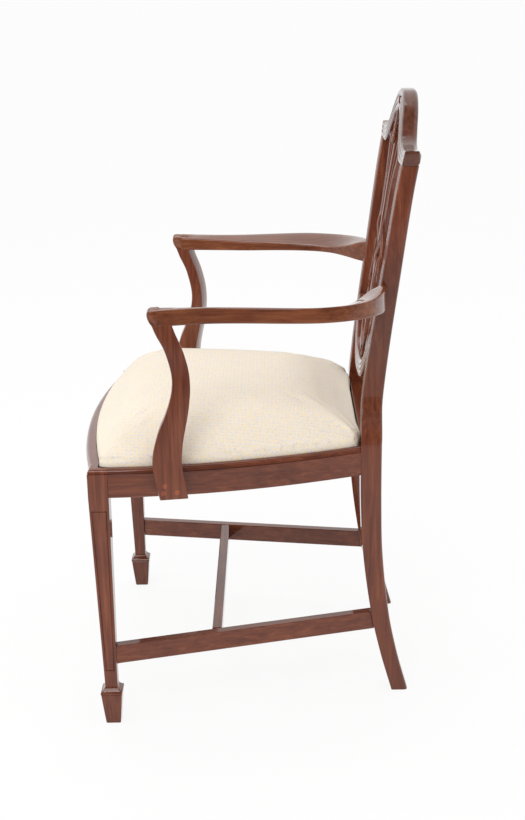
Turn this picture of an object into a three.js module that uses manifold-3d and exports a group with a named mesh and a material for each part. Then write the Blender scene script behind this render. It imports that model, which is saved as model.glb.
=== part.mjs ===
import * as THREE from 'three';
import { mergeVertices } from 'three/addons/utils/BufferGeometryUtils.js';
import Module from 'manifold-3d';

// Open armchair with a shield shaped back, a lift-out stuffed seat and spade feet.
// Millimetres, Z up. The sitter faces -Y and the sitter's left hand is on +X.

// Driving dimensions of the whole chair
const overallHeight = 965;
const seatRailTop = 432;
const seatRailHeight = 46;
const seatSpan = 420;
const postFront = 170.5;
const frontLegOuter = 280.4;
const frontLegSide = 31.4;
const postSeatOuter = 196.5;
const postFootOuter = 181.2;

// Fits, overruns and welding
const gap = 0.3;
const overrun = 20;
const weldDistance = 0.0001;

// Front legs and spade feet
const frontLegFootSide = 19.6;
const ankleHeight = 62.7;
const spadeWidest = 34.2;
const spadeBottom = 23.1;
const spadeHeight = 55.2;
const spadeCollar = 3.4;
const legArris = 1.6;
const faceArris = 0.8;
const frontLegSplay = 1.3;
const frontLegSetBack = 4.3;
const spadeFlareShares = [0.27, 0.66];
const spadeShoulderShares = [0.35, 0.5];
const legShaftSteps = 3;

// Back posts
const rearKick = 52.7;
const backRake = 74.7;
const postFootWidth = 29.3;
const postSeatWidth = 30;
const postTopWidth = 31;
const neckWidth = 28.5;
const postFootDepth = 26.5;
const postSeatDepth = 33.4;
const postTopDepth = 26.5;
const neckOuter = 164.4;
const sweepClearance = 8;
const sweepLength = 60;
const stileTopOuter = 203.6;
const postSteps = 8;
const stileSteps = 11;
const sweepSteps = 5;
const kickShares = [[0, 1], [0.16, 0.64], [0.333, 0.34], [0.58, 0.08], [0.79, 0], [1, 0]];
const rakeShares = [
  [0, 0], [0.112, 0.039], [0.28, 0.188], [0.505, 0.429], [0.729, 0.666], [0.841, 0.805], [1, 1],
];
const stileFlareShares = [[0, 0], [0.136, 0.05], [0.3, 0.2], [0.54, 0.5], [0.78, 0.79], [1, 1]];

// Crest rail
const earOverhang = 10;
const crestJointDrop = 97;
const earDrop = 72.3;
const earLip = 4;
const earRound = 5;
const crestArch = 65;
const crestDepth = 24.8;
const crestRound = 8;
const crestRoundLimit = 1.2;
const crestStepsPerSide = 16;
const crestRoundShares = [[0, 1], [0.08, 0.6], [0.3, 0.25], [0.63, 0.06], [1, 0]];
const crestTopShares = [
  [0, 1], [0.117, 0.972], [0.234, 0.855], [0.351, 0.654], [0.468, 0.364],
  [0.585, 0.115], [0.702, 0.004], [0.82, -0.037], [0.936, -0.024], [1, 0],
];
const crestLowShares = [
  [0, 1], [0.22, 0.877], [0.35, 0.63], [0.54, 0.277], [0.7, 0.062], [0.84, -0.02], [1, 0],
];

// Shield base rail
const baseRailWidth = 27;
const baseRailDepth = 20;
const baseRailLift = 82;
const baseRailRise = 80;
const baseRailBite = 3.6;
const baseRailSteps = 18;
const baseRailShares = [[0, 0], [0.35, 0.075], [0.62, 0.34], [0.84, 0.69], [1, 1]];

// Splat
const splatSetBack = 4.8;
const splatDepth = 9;
const splatHeadDrop = 62;
const splatMargin = 97.6;
const outerRibWidth = 12.5;
const innerRibWidth = 10;
const centreRibWidth = 14;
const centreRibDrop = 25;
const centreRibProud = 0.8;
const interlaceLift = 2.8;
const outerRibSteps = 33;
const innerRibSteps = 28;
const centreRibSteps = 6;
const outerRibShares = [
  [0, 0], [0.321, 0.028], [0.538, 0.069], [0.623, 0.124], [0.585, 0.185], [0.481, 0.246],
  [0.34, 0.309], [0.17, 0.376], [0, 0.439], [-0.189, 0.5], [-0.349, 0.561], [-0.434, 0.66],
  [-0.491, 0.771], [-0.575, 0.826], [-0.698, 0.878], [-0.849, 0.948], [-0.972, 1],
];
const innerRibShares = [
  [0.045, 0.02], [0.142, 0.086], [0.226, 0.157], [0.283, 0.235], [0.349, 0.307], [0.472, 0.354],
  [0.547, 0.406], [0.519, 0.456], [0.434, 0.508], [0.349, 0.564], [0.302, 0.646], [0.292, 0.743],
  [0.33, 0.854], [0.406, 0.964], [0.491, 1.061],
];
const crossingShares = [0, 0.307, 0.439, 0.562];
const crossingSpreadShare = 0.04;

// Reeding shared by the stiles, crest, base rail and splat
const reedRelief = 1.6;
const reedShares = [-0.39, -0.2, 0, 0.2, 0.39];

// Arms
const armRise = 226;
const armThickness = 24.4;
const armNose = 26.5;
const armOverhang = 9;
const armEndDepth = 13.3;
const armNoseSlant = 6;
const armNoseShare = 0.09;
const armSteps = 21;
const armRows = 13;
const armPlanShares = [
  [0, 0.955, 0, 0.8], [0.016, 1, 0.016, 0.75], [0.1, 0.945, 0.1, 0.715], [0.24, 0.878, 0.24, 0.664],
  [0.38, 0.888, 0.38, 0.61], [0.52, 0.928, 0.52, 0.592], [0.655, 0.952, 0.645, 0.58],
  [0.745, 0.912, 0.735, 0.52], [0.838, 0.808, 0.81, 0.39], [0.916, 0.632, 0.872, 0.21],
  [0.966, 0.37, 0.92, 0.07], [0.99, 0.09, 0.965, -0.03], [1, -0.14, 0.985, -0.14],
];
const armHeightShares = [
  [0.8, 0.32, 0.74, 0.3], [1, 0.04, 0.92, 0], [1.02, 0, 0.9, 0], [1.02, 0, 0.8, 0], [1, 0, 0.68, 0],
  [1, 0, 0.56, 0], [1, 0, 0.43, -0.04], [1, -0.02, 0.36, -0.06], [1, -0.04, 0.4, -0.08],
  [1.03, -0.08, 0.66, -0.16], [1.12, -0.2, 1, -0.26], [1.2, -0.3, 1.18, -0.34], [1.22, -0.32, 1.22, -0.36],
];
const armSectionShares = [
  [1, 0.28], [1, 0.8], [0.93, 0.97], [0.74, 1.04], [0.42, 1.03], [0.12, 0.97],
  [0, 0.76], [0, 0.26], [0.1, 0.03], [0.5, 0], [0.9, 0.05],
];

// Arm supports
const supportProud = 25.4;
const supportThickness = 30;
const supportLift = 3;
const supportTurn = 0.15;
const supportArris = 2.2;
const supportPlace = 129.5;
const supportReach = 34;
const supportSteps = 14;
const supportShares = [
  [0, -0.55, 0.73], [0.09, -0.69, 0.64], [0.16, -0.78, 0.53], [0.21, -0.81, 0.505], [0.265, -0.78, 0.53],
  [0.33, -0.66, 0.59], [0.4, -0.48, 0.7], [0.47, -0.23, 0.82], [0.54, -0.03, 0.91], [0.61, 0.12, 0.97],
  [0.68, 0.175, 0.975], [0.745, 0.12, 0.925], [0.81, 0, 0.81], [0.87, -0.15, 0.67], [0.94, -0.42, 0.45],
  [1, -0.6, 0.29],
];
const supportTenonWidth = 11;
const supportTenonLength = 16;
const supportTenonRise = 13;

// Seat rails
const railThickness = 26;
const frontRailBow = 25.5;
const sideRailBow = 19;
const faceHeight = 38;
const quirkDepth = 1.3;
const quirkHeight = 0.9;
const mouldingShoulder = 3.6;
const mouldingRun = 6.6;
const mouldingDrop = 1.4;
const rearRailRise = 4;
const rearRailSetBack = 1.5;
const sideRailSteps = 10;
const frontRailSteps = 14;
const bearerClearance = 7.3;
const bearerDepth = 14;
const bearerHeight = 20;

// Corner blocks and their screws
const blockLeg = 70;
const rearBlockLeg = 60;
const blockLift = 3;
const blockHeight = 27;
const blockScrewSpread = 16;
const blockScrewRise = 13;
const blockScrewLength = 44;
const rearScrewLength = 37;
const blockScrewSink = 2;
const rearBlockShift = 4.8;

// Screws and pellets
const screwRadius = 2.1;
const screwHeadRadius = 3.8;
const screwHeadHeight = 2.4;
const screwPoint = 4;
const screwTipShare = 0.4;
const screwSides = 6;
const pelletRadius = 4;
const pelletDepth = 3.4;
const pelletSides = 8;
const supportScrewLength = 44;
const supportScrewPlaces = [[-10.5, 22], [-12.5, 10.5], [8, 11]];
const armScrewLength = 62;
const armScrewRise = 12;
const armScrewTurn = -0.5;
const armScrewDepthShare = 0.62;

// Tenons of the seat rails and stretchers
const tenonThickness = 8;
const tenonShoulder = 8;
const frontTenonLength = 14;
const sideTenonLength = 18;
const rearTenonLength = 16;
const stretcherTenonLength = 14;
const stretcherTenonShoulder = 5;
const crossTenonLength = 8;
const stileTenonSide = 12;
const stileTenonRise = 13;
const splatTenonWidth = 22;
const splatTenonDepth = 5;
const splatTenonLength = 10;
const baseTenonWidth = 13;
const baseTenonDepth = 8;
const baseTenonLength = 14;
const baseTenonRelief = 0.03;
const rearTenonThickness = 7.5;
const crossEndRelief = 1.8;

// Stretchers
const stretcherThickness = 16.6;
const stretcherHeight = 31;
const stretcherTopFront = 134.4;
const stretcherTopBack = 143;
const stretcherInsetFront = 6.2;
const stretcherInsetBack = 0.8;
const stretcherArris = 1.2;
const stretcherBite = 5;
const crossStretcherReach = 187.5;
const crossStretcherWidth = 15.5;
const crossStretcherHeight = 27;

// Lift-out seat
const lipSide = 11;
const lipFront = 16;
const recessDepth = 14;
const seatClearance = 1;
const coverThickness = 1.2;
const hemWidth = 40;
const seatFrameThickness = 20;
const seatFrameWidth = 45;
const cornerRadius = 9;
const cornerGrowthShare = 0.25;
const midStep = 0.5;
const tackingShare = 0.25;
const seatTenonLength = 20;
const seatTenonThickness = 8;
const webWidth = 50;
const webThickness = 1.5;
const webPitchAcross = 82;
const webPitchAlong = 84;
const websAcross = 4;
const websAlong = 4;
const clothThickness = 1;
const bottomingInset = 30;
const crownHeight = 60;
const crownRun = 120;
const frontPointsPerSide = 6;
const sidePoints = 7;
const backPointsPerSide = 2;
const cornerPoints = 3;
const crownShares = [
  [0.012, 0.112], [0.068, 0.262], [0.155, 0.42], [0.273, 0.576], [0.414, 0.717],
  [0.571, 0.835], [0.731, 0.925], [0.885, 0.981], [1, 1],
];

const seatRailBottom = seatRailTop - seatRailHeight;
const legFront = postFront - seatSpan;
const legBack = legFront + frontLegSide;
const legInner = frontLegOuter - frontLegSide;
const ledge = seatRailTop - recessDepth;

// Materials
const wood = (color, roughness) => new THREE.MeshStandardMaterial({ color, roughness, metalness: 0 });
const mahogany = () => wood('#6f3a2a', 0.32);
const pelletWood = () => wood('#8a4a30', 0.4);
const beech = () => wood('#c79a66', 0.7);
const pine = () => wood('#c9a877', 0.75);
const steel = () => new THREE.MeshStandardMaterial({ color: '#8c8a86', roughness: 0.4, metalness: 0.9 });
const jute = () => new THREE.MeshStandardMaterial({ color: '#b08a58', roughness: 0.95, metalness: 0 });
const hessian = () => new THREE.MeshStandardMaterial({ color: '#a98b62', roughness: 0.95, metalness: 0 });
const hair = () => new THREE.MeshStandardMaterial({ color: '#5b4a3c', roughness: 0.95, metalness: 0 });
const damask = () => new THREE.MeshStandardMaterial({ color: '#e6dcc4', roughness: 0.85, metalness: 0 });

// Smooth curve through a table of [at, value] rows, by Hermite steps
function smooth(table, at) {
  const last = table.length - 1;
  if (at <= table[0][0]) return table[0][1];
  if (at >= table[last][0]) return table[last][1];
  const row = table.findIndex((entry) => entry[0] > at) - 1;
  const slopeAt = (index) => {
    const before = table[Math.max(index - 1, 0)];
    const after = table[Math.min(index + 1, last)];
    return (after[1] - before[1]) / (after[0] - before[0]);
  };
  const [start, end] = [table[row], table[row + 1]];
  const run = end[0] - start[0];
  const t = (at - start[0]) / run;
  const [t2, t3] = [t ** 2, t ** 3];
  return (2 * t3 - 3 * t2 + 1) * start[1] + (t3 - 2 * t2 + t) * run * slopeAt(row)
    + (3 * t2 - 2 * t3) * end[1] + (t3 - t2) * run * slopeAt(row + 1);
}

const blend = (from, to, share) => from + (to - from) * share;
const eased = (share) => THREE.MathUtils.smoothstep(share, 0, 1);
const steps = (count) => Array.from({ length: count + 1 }, (_, index) => index / count);

// Closed solid through rings of points, with flat ends
function loft(rings) {
  const count = rings[0].length;
  const positions = rings.flat().flatMap((point) => point.toArray());
  const indices = [];
  rings.slice(1).forEach((_, row) => {
    for (let index = 0; index < count; index += 1) {
      const here = row * count + index;
      const next = row * count + ((index + 1) % count);
      indices.push(here, next, here + count, next, next + count, here + count);
    }
  });
  const cap = (ring, offset, forward) => {
    const normal = new THREE.Vector3();
    ring.forEach((point, index) => normal.add(point.clone().cross(ring[(index + 1) % count])));
    const flat = new THREE.Quaternion().setFromUnitVectors(normal.normalize(), new THREE.Vector3(0, 0, 1));
    const contour = ring.map((point) => {
      const turned = point.clone().applyQuaternion(flat);
      return new THREE.Vector2(turned.x, turned.y);
    });
    THREE.ShapeUtils.triangulateShape(contour, []).forEach(([a, b, c]) => {
      const area = THREE.ShapeUtils.area([contour[a], contour[b], contour[c]]);
      const order = (area > 0) === forward ? [a, b, c] : [a, c, b];
      indices.push(...order.map((index) => index + offset));
    });
  };
  cap(rings[0], 0, false);
  cap(rings[rings.length - 1], (rings.length - 1) * count, true);
  return outward(meshOf(positions, indices));
}

function meshOf(positions, indices) {
  const geometry = new THREE.BufferGeometry();
  geometry.setAttribute('position', new THREE.Float32BufferAttribute(positions, 3));
  geometry.setIndex(indices);
  return geometry;
}

// Turns a closed mesh so that its faces point out
function outward(geometry) {
  const index = geometry.index.array;
  const places = geometry.attributes.position;
  const corner = (place) => new THREE.Vector3().fromBufferAttribute(places, index[place]);
  let volume = 0;
  for (let place = 0; place < index.length; place += 3) {
    volume += corner(place).dot(corner(place + 1).cross(corner(place + 2)));
  }
  return volume < 0 ? turnedOver(geometry) : geometry;
}

function turnedOver(geometry) {
  const index = geometry.index.array;
  for (let place = 0; place < index.length; place += 3) {
    [index[place + 1], index[place + 2]] = [index[place + 2], index[place + 1]];
  }
  return geometry;
}

function mirrored(geometry) {
  const copy = geometry.clone();
  copy.scale(-1, 1, 1);
  return turnedOver(copy);
}

// Solids for cutting and joining
function solidOf(geometry) {
  const bare = geometry.clone();
  bare.deleteAttribute('uv');
  bare.deleteAttribute('normal');
  const merged = mergeVertices(bare, weldDistance);
  return new wasm.Manifold(new wasm.Mesh({
    numProp: 3,
    vertProperties: new Float32Array(merged.attributes.position.array),
    triVerts: new Uint32Array(merged.index.array),
  }));
}

function geometryOf(solid) {
  const mesh = solid.getMesh();
  return meshOf(Array.from(mesh.vertProperties), Array.from(mesh.triVerts));
}

const joined = (first, ...others) => geometryOf(
  others.reduce((sum, other) => sum.add(solidOf(other)), solidOf(first)),
);
const cut = (first, ...others) => geometryOf(
  others.reduce((rest, other) => rest.subtract(solidOf(other)), solidOf(first)),
);
const common = (first, second) => geometryOf(solidOf(first).intersect(solidOf(second)));

// Box between two corners, grown on every side where a fit is asked for
function block([x0, y0, z0], [x1, y1, z1], grow = 0) {
  const size = [x1 - x0, y1 - y0, z1 - z0].map((side) => Math.abs(side) + 2 * grow);
  const geometry = new THREE.BoxGeometry(...size);
  return geometry.translate((x0 + x1) / 2, (y0 + y1) / 2, (z0 + z1) / 2);
}

// Level ring of a rectangle with its arrises taken off
function levelRing(x0, x1, y0, y1, z, arris) {
  return [
    [x0 + arris, y0], [x1 - arris, y0], [x1, y0 + arris], [x1, y1 - arris],
    [x1 - arris, y1], [x0 + arris, y1], [x0, y1 - arris], [x0, y0 + arris],
  ].map(([x, y]) => new THREE.Vector3(x, y, z));
}

// Front face of the raked back and of the posts below it, as a depth for each height
function backFace(z) {
  if (z < seatRailTop) return postFront + rearKick * smooth(kickShares, z / seatRailTop);
  return postFront + backRake * smooth(rakeShares, (z - seatRailTop) / (overallHeight - seatRailTop));
}

const onShield = (x, z, depth) => new THREE.Vector3(x, backFace(z) + depth, z);

// Section of a reeded bar: across the bar and back from its face
function reeded(width, depth, shoulder, relief = shoulder) {
  const face = reedShares.map((share, index) => [width * share, index % 2 === 0 ? 0 : relief]);
  return [[-width / 2, depth], [-width / 2, shoulder], ...face, [width / 2, shoulder], [width / 2, depth]];
}

function shieldBar(path, count, width, depth, relief, setBack, lift = () => 0) {
  const section = reeded(width, depth, relief);
  return loft(steps(count).map((share) => {
    const place = path.getPointAt(share);
    const along = path.getTangentAt(share);
    return section.map(([across, back]) => onShield(
      place.x + along.y * across,
      place.y - along.x * across,
      setBack + back + lift(place.y),
    ));
  }));
}

const spline = (points) => new THREE.SplineCurve(points.map(([x, z]) => new THREE.Vector2(x, z)));
const scaled = (table, reach, from, to) => table.map(([x, z]) => [x * reach, blend(from, to, z)]);

// Places that follow from the sizes above
const sweepStart = seatRailTop + sweepClearance;
const neckHeight = sweepStart + sweepLength;
const rearRailTop = seatRailTop + rearRailRise;
const crestJoint = overallHeight - crestJointDrop;
const earHeight = overallHeight - earDrop;
const baseRailCentre = seatRailTop + baseRailLift;
const crestHalfWidth = stileTopOuter + earOverhang;
const splatReach = stileTopOuter - splatMargin;
const splatFoot = baseRailCentre + baseRailWidth;
const splatHead = overallHeight - splatHeadDrop;
const centreRibTop = overallHeight - centreRibDrop;
const armUnderside = seatRailTop + armRise;
const armTop = armUnderside + armThickness;
const armScrewHeight = armUnderside + armScrewRise;
const supportReference = legFront + supportPlace;
const supportOuter = sideFace(supportReference) + supportProud;
const supportInner = supportOuter - supportThickness;
const supportBottom = seatRailBottom + supportLift;
const armTip = supportReference - armNose;
const armTipOuter = supportOuter + armOverhang;
const armEndInPost = backFace(armTop) + armEndDepth;
const blockBottom = seatRailBottom + blockLift;
const blockScrewHeight = blockBottom + blockScrewRise;
const stretcherOuterFront = frontLegOuter - stretcherInsetFront;
const stretcherOuterBack = postFootOuter - stretcherInsetBack;
const crossStretcherPlace = legFront + crossStretcherReach;

// Front leg: square top block, tapered shaft and spade foot
function frontLegRing(z, side) {
  const share = Math.max(0, 1 - z / seatRailBottom);
  const x = frontLegOuter - frontLegSide / 2 + frontLegSplay * share;
  const y = legFront + frontLegSide / 2 + frontLegSetBack * share;
  return levelRing(x - side / 2, x + side / 2, y - side / 2, y + side / 2, z, legArris);
}

const shaftSide = (z) => blend(
  frontLegFootSide, frontLegSide, (z - ankleHeight) / (seatRailBottom - ankleHeight),
);

function frontLegBody() {
  const spade = [[0, spadeBottom - legArris], [legArris, spadeBottom]];
  spadeFlareShares.forEach((share, index) => {
    const rise = (index + 1) / (spadeFlareShares.length + 1);
    spade.push([spadeHeight * rise, blend(spadeBottom, spadeWidest, share)]);
  });
  spade.push([spadeHeight - spadeCollar, spadeWidest], [spadeHeight, spadeWidest]);
  const [shoulderRise, shoulderDraw] = spadeShoulderShares;
  spade.push([
    blend(spadeHeight, ankleHeight, shoulderRise),
    blend(spadeWidest, frontLegFootSide, shoulderDraw),
  ]);
  const shaft = steps(legShaftSteps)
    .map((share) => blend(ankleHeight, seatRailBottom, share))
    .map((z) => [z, shaftSide(z)]);
  const top = [
    [seatRailBottom + faceHeight, frontLegSide],
    [seatRailBottom + faceHeight + quirkHeight, frontLegSide - 2 * quirkDepth],
    [seatRailTop - mouldingDrop, frontLegSide - 2 * mouldingShoulder],
    [seatRailTop, frontLegSide - 2 * mouldingRun],
  ];
  return loft([...spade, ...shaft, ...top].map(([z, side]) => frontLegRing(z, side)));
}

// Back post: sabre leg, upright at the seat, then the stile of the shield
const sweepShare = (z) => eased((z - sweepStart) / (neckHeight - sweepStart));
const stileShare = (z) => (z - neckHeight) / (crestJoint - neckHeight);

function postOuter(z) {
  if (z < sweepStart) return blend(postFootOuter, postSeatOuter, eased(z / seatRailBottom));
  if (z < neckHeight) return blend(postSeatOuter, neckOuter, sweepShare(z));
  return blend(neckOuter, stileTopOuter, smooth(stileFlareShares, stileShare(z)));
}

function postWidth(z) {
  if (z < sweepStart) return blend(postFootWidth, postSeatWidth, Math.min(1, z / seatRailBottom));
  if (z < neckHeight) return blend(postSeatWidth, neckWidth, sweepShare(z));
  return blend(neckWidth, postTopWidth, stileShare(z));
}

function postDepth(z) {
  if (z < seatRailTop) return blend(postFootDepth, postSeatDepth, eased(z / seatRailBottom));
  return blend(postSeatDepth, postTopDepth, eased((z - seatRailTop) / (crestJoint - seatRailTop)));
}

const postHeights = [
  ...steps(postSteps).map((share) => blend(0, sweepStart, share)),
  ...steps(sweepSteps).slice(1).map((share) => blend(sweepStart, neckHeight, share)),
  ...steps(stileSteps).slice(1).map((share) => blend(neckHeight, crestJoint - gap, share)),
];

function postBody() {
  return loft(postHeights.map((z) => {
    const relief = sweepShare(z) * reedRelief;
    const middle = postOuter(z) - postWidth(z) / 2;
    return reeded(postWidth(z), postDepth(z), Math.max(relief, faceArris), relief)
      .map(([across, back]) => new THREE.Vector3(middle + across, backFace(z) + back, z));
  }));
}

// The space that a post fills, for cutting what is fitted against it
function postBlank() {
  return loft(postHeights.map((z) => {
    const [outer, front] = [postOuter(z) + gap, backFace(z) - gap];
    const [inner, back] = [outer - postWidth(z) - 2 * gap, front + postDepth(z) + 2 * gap];
    return levelRing(inner, outer, front, back, z, faceArris);
  }));
}

// Crest rail: serpentine top edge, arched underside and ears over the stiles
const crestTop = (x) => blend(earHeight, overallHeight, smooth(crestTopShares, Math.abs(x) / crestHalfWidth));

function crestLow(x) {
  const inner = stileTopOuter - postTopWidth;
  if (Math.abs(x) > stileTopOuter) {
    const share = (Math.abs(x) - stileTopOuter) / (crestHalfWidth - stileTopOuter);
    return blend(crestJoint, earHeight - earLip, share);
  }
  if (Math.abs(x) > inner) return crestJoint;
  return crestJoint + crestArch * smooth(crestLowShares, Math.abs(x) / inner);
}

function crestBody(grow = 0) {
  const inner = stileTopOuter - postTopWidth;
  const half = [
    ...steps(crestStepsPerSide).map((share) => share * inner),
    (inner + stileTopOuter) / 2, stileTopOuter, crestHalfWidth,
  ];
  const across = [...half.slice(1).reverse().map((x) => -x), ...half];
  return loft(across.map((x) => {
    const [low, top] = [crestLow(x) - grow, crestTop(x) + grow];
    const middle = (low + top) / 2;
    const edge = (top - low) / 2;
    const flare = Math.max(0, Math.abs(x) - stileTopOuter) / (crestHalfWidth - stileTopOuter);
    const depth = blend(crestDepth, postTopDepth, Math.abs(x) / crestHalfWidth) - earRound * flare + grow;
    const front = reeded(2 * edge, depth, reedRelief).slice(0, -1);
    const radius = Math.min(crestRound, crestRoundLimit * edge);
    const round = crestRoundShares.map(([drop, inward]) => [edge - drop * radius, depth - inward * radius]);
    return [...front, ...round].map(([rise, back]) => onShield(x, middle + rise, back === 0 ? -grow : back));
  }));
}

// Shield base rail between the stiles
const baseRailEnd = baseRailCentre + baseRailRise;
const baseRailReach = postOuter(baseRailEnd) - postWidth(baseRailEnd) + baseRailBite;
const baseRailHalf = scaled(baseRailShares, baseRailReach, baseRailCentre, baseRailEnd);
const baseRailPath = spline([...baseRailHalf.slice(1).reverse().map(([x, z]) => [-x, z]), ...baseRailHalf]);

function baseRailBody(grow = 0) {
  const width = baseRailWidth + 2 * grow;
  return shieldBar(baseRailPath, baseRailSteps, width, baseRailDepth + grow, reedRelief, 0);
}

function baseRailTenon(grow = 0) {
  const end = baseRailPath.getPointAt(1);
  const along = baseRailPath.getTangentAt(1);
  const path = spline([
    [end.x - along.x * baseRailWidth, end.y - along.y * baseRailWidth],
    [end.x + along.x * (baseTenonLength + grow), end.y + along.y * (baseTenonLength + grow)],
  ]);
  const setBack = (baseRailDepth - baseTenonDepth) / 2 - grow;
  return shieldBar(path, 1, baseTenonWidth + 2 * grow, baseTenonDepth + 2 * grow, baseTenonRelief, setBack);
}

// Splat: two pairs of ribs woven over and under each other, and a central rib
function woven(signs) {
  return (z) => {
    const height = (z - splatFoot) / (splatHead - splatFoot);
    return signs.reduce((sum, sign, index) => {
      const away = (height - crossingShares[index]) / crossingSpreadShare;
      return sum + sign * interlaceLift * Math.exp(-(away ** 2));
    }, 0);
  };
}

function splatBody() {
  const rib = (points, width, count, lift) => shieldBar(
    spline(points), count, width, splatDepth, reedRelief, splatSetBack, lift,
  );
  const turned = (points) => points.map(([x, z]) => [-x, z]);
  const outer = scaled(outerRibShares, splatReach, splatFoot, splatHead);
  const inner = scaled(innerRibShares, splatReach, splatFoot, splatHead);
  const upright = [[0, splatFoot - outerRibWidth], [0, centreRibTop]];
  return joined(
    rib(upright, centreRibWidth, centreRibSteps, () => -centreRibProud),
    rib(outer, outerRibWidth, outerRibSteps, woven([1, -1, 1, -1])),
    rib(turned(outer), outerRibWidth, outerRibSteps, woven([-1, 1, -1, 1])),
    rib(inner, innerRibWidth, innerRibSteps, woven([0, 1, 0, -1])),
    rib(turned(inner), innerRibWidth, innerRibSteps, woven([0, -1, 0, 1])),
  );
}

function splatTenon(z, direction, grow = 0) {
  const depth = backFace(z) + splatSetBack + splatDepth / 2;
  return block(
    [-splatTenonWidth / 2, depth - splatTenonDepth / 2, z - direction * splatTenonLength],
    [splatTenonWidth / 2, depth + splatTenonDepth / 2, z + direction * splatTenonLength],
    grow,
  );
}

// Arm: flat ended at the support, dished and widened at the elbow, swept in to the post
function armBody() {
  const planX = (share) => blend(postOuter(armUnderside), armTipOuter, share);
  const planY = (share) => blend(armTip, armEndInPost, share);
  const level = (share) => blend(armUnderside, armTop, share);
  const rows = steps(armRows - 1);
  const column = (table, index) => rows.map((at, row) => [at, table[row][index]]);
  const plan = [0, 1, 2, 3].map((index) => column(armPlanShares, index));
  const height = [0, 1, 2, 3].map((index) => column(armHeightShares, index));
  return loft(steps(armSteps).map((share) => {
    const [outerY, outerX, innerY, innerX] = plan.map((table) => smooth(table, share));
    const [outerTop, outerLow, innerTop, innerLow] = height.map((table) => level(smooth(table, share)));
    const slant = armNoseSlant * Math.max(0, 1 - share / armNoseShare);
    return armSectionShares.map(([across, rise]) => new THREE.Vector3(
      planX(blend(innerX, outerX, across)),
      planY(blend(innerY, outerY, across)) + slant * (1 - rise),
      blend(blend(innerLow, outerLow, across), blend(innerTop, outerTop, across), rise),
    ));
  }));
}

// Arm support: a swept upright fixed to the outside of the side rail
function supportBody() {
  const at = (index) => supportShares.map((row) => [row[0], row[index]]);
  return loft(steps(supportSteps).map((share) => {
    const front = supportReference + supportReach * smooth(at(1), share);
    const back = supportReference + supportReach * smooth(at(2), share);
    const z = blend(supportBottom, armUnderside - gap, share);
    return levelRing(supportInner, supportOuter, front, back, z, supportArris)
      .map((point) => new THREE.Vector3(point.x - supportTurn * (point.y - supportReference), point.y, z));
  }));
}

function supportTenon(grow = 0) {
  const row = supportShares[supportShares.length - 1];
  const y = supportReference + supportReach * (row[1] + row[2]) / 2;
  const x = (supportInner + supportOuter) / 2;
  return block(
    [x - supportTenonWidth / 2, y - supportTenonLength / 2, armUnderside - supportTenonRise],
    [x + supportTenonWidth / 2, y + supportTenonLength / 2, armUnderside + supportTenonRise],
    grow,
  );
}

// Plan of the seat rails: outer faces
function frontFace(x) {
  const share = Math.min(1, Math.abs(x) / legInner);
  return legFront - frontRailBow * (1 - share ** 2);
}

function sideFace(y) {
  if (y < legBack) return frontLegOuter;
  const share = (y - legBack) / (postFront - legBack);
  return blend(frontLegOuter, postSeatOuter, share) + sideRailBow * (1 - (2 * share - 1) ** 2);
}

// Section of a moulded seat rail: inward from its face, and height
const railSection = [
  [0, seatRailBottom], [0, seatRailBottom + faceHeight],
  [quirkDepth, seatRailBottom + faceHeight + quirkHeight],
  [mouldingShoulder, seatRailTop - mouldingDrop], [mouldingRun, seatRailTop],
  [railThickness, seatRailTop], [railThickness, seatRailBottom],
];

function sideRailBody(grow = 0) {
  return loft(steps(sideRailSteps).map((share) => {
    const y = blend(legBack + gap, postFront - gap, share);
    return railSection.map(([inward, z]) => new THREE.Vector3(
      sideFace(y) - inward + (inward === 0 ? grow : 0) - (inward === railThickness ? grow : 0), y, z));
  }));
}

function frontRailBody(grow = 0) {
  return loft(steps(frontRailSteps).map((share) => {
    const x = blend(gap - legInner, legInner - gap, share);
    return railSection.map(([inward, z]) => new THREE.Vector3(
      x, frontFace(x) + inward + (inward === railThickness ? grow : 0), z));
  }));
}

const rearRailInner = postSeatOuter - postSeatWidth;
const rearRailFront = postFront + rearRailSetBack;

function rearRailBody(grow = 0) {
  const half = rearRailInner - gap;
  const back = rearRailFront + railThickness;
  const section = levelRing(rearRailFront - grow, back, seatRailBottom, rearRailTop, 0, legArris);
  return loft([-half, half].map((x) => section.map((point) => new THREE.Vector3(x, point.x, point.y))));
}

// Tenons of the seat rails, each from inside its rail into the post or leg
const tenonLow = seatRailBottom + tenonShoulder;
const tenonHigh = ledge - tenonShoulder;

function frontRailTenon(grow = 0) {
  const y = legFront + tenonShoulder;
  return block(
    [legInner - overrun, y, tenonLow],
    [legInner + frontTenonLength, y + tenonThickness, tenonHigh],
    grow,
  );
}

function sideRailFrontTenon(grow = 0) {
  const x = frontLegOuter - tenonShoulder;
  return block(
    [x - tenonThickness, legBack + overrun, tenonLow],
    [x, legBack - sideTenonLength, tenonHigh],
    grow,
  );
}

function sideRailBackTenon(grow = 0) {
  const x = postSeatOuter - tenonShoulder - legArris;
  return block(
    [x - tenonThickness, postFront - overrun, tenonLow],
    [x, postFront + sideTenonLength, tenonHigh],
    grow,
  );
}

function rearRailTenon(grow = 0) {
  const y = rearRailFront + railThickness - legArris;
  return block(
    [rearRailInner - overrun, y - rearTenonThickness, tenonLow],
    [rearRailInner + rearTenonLength, y, tenonHigh],
    grow,
  );
}

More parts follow.
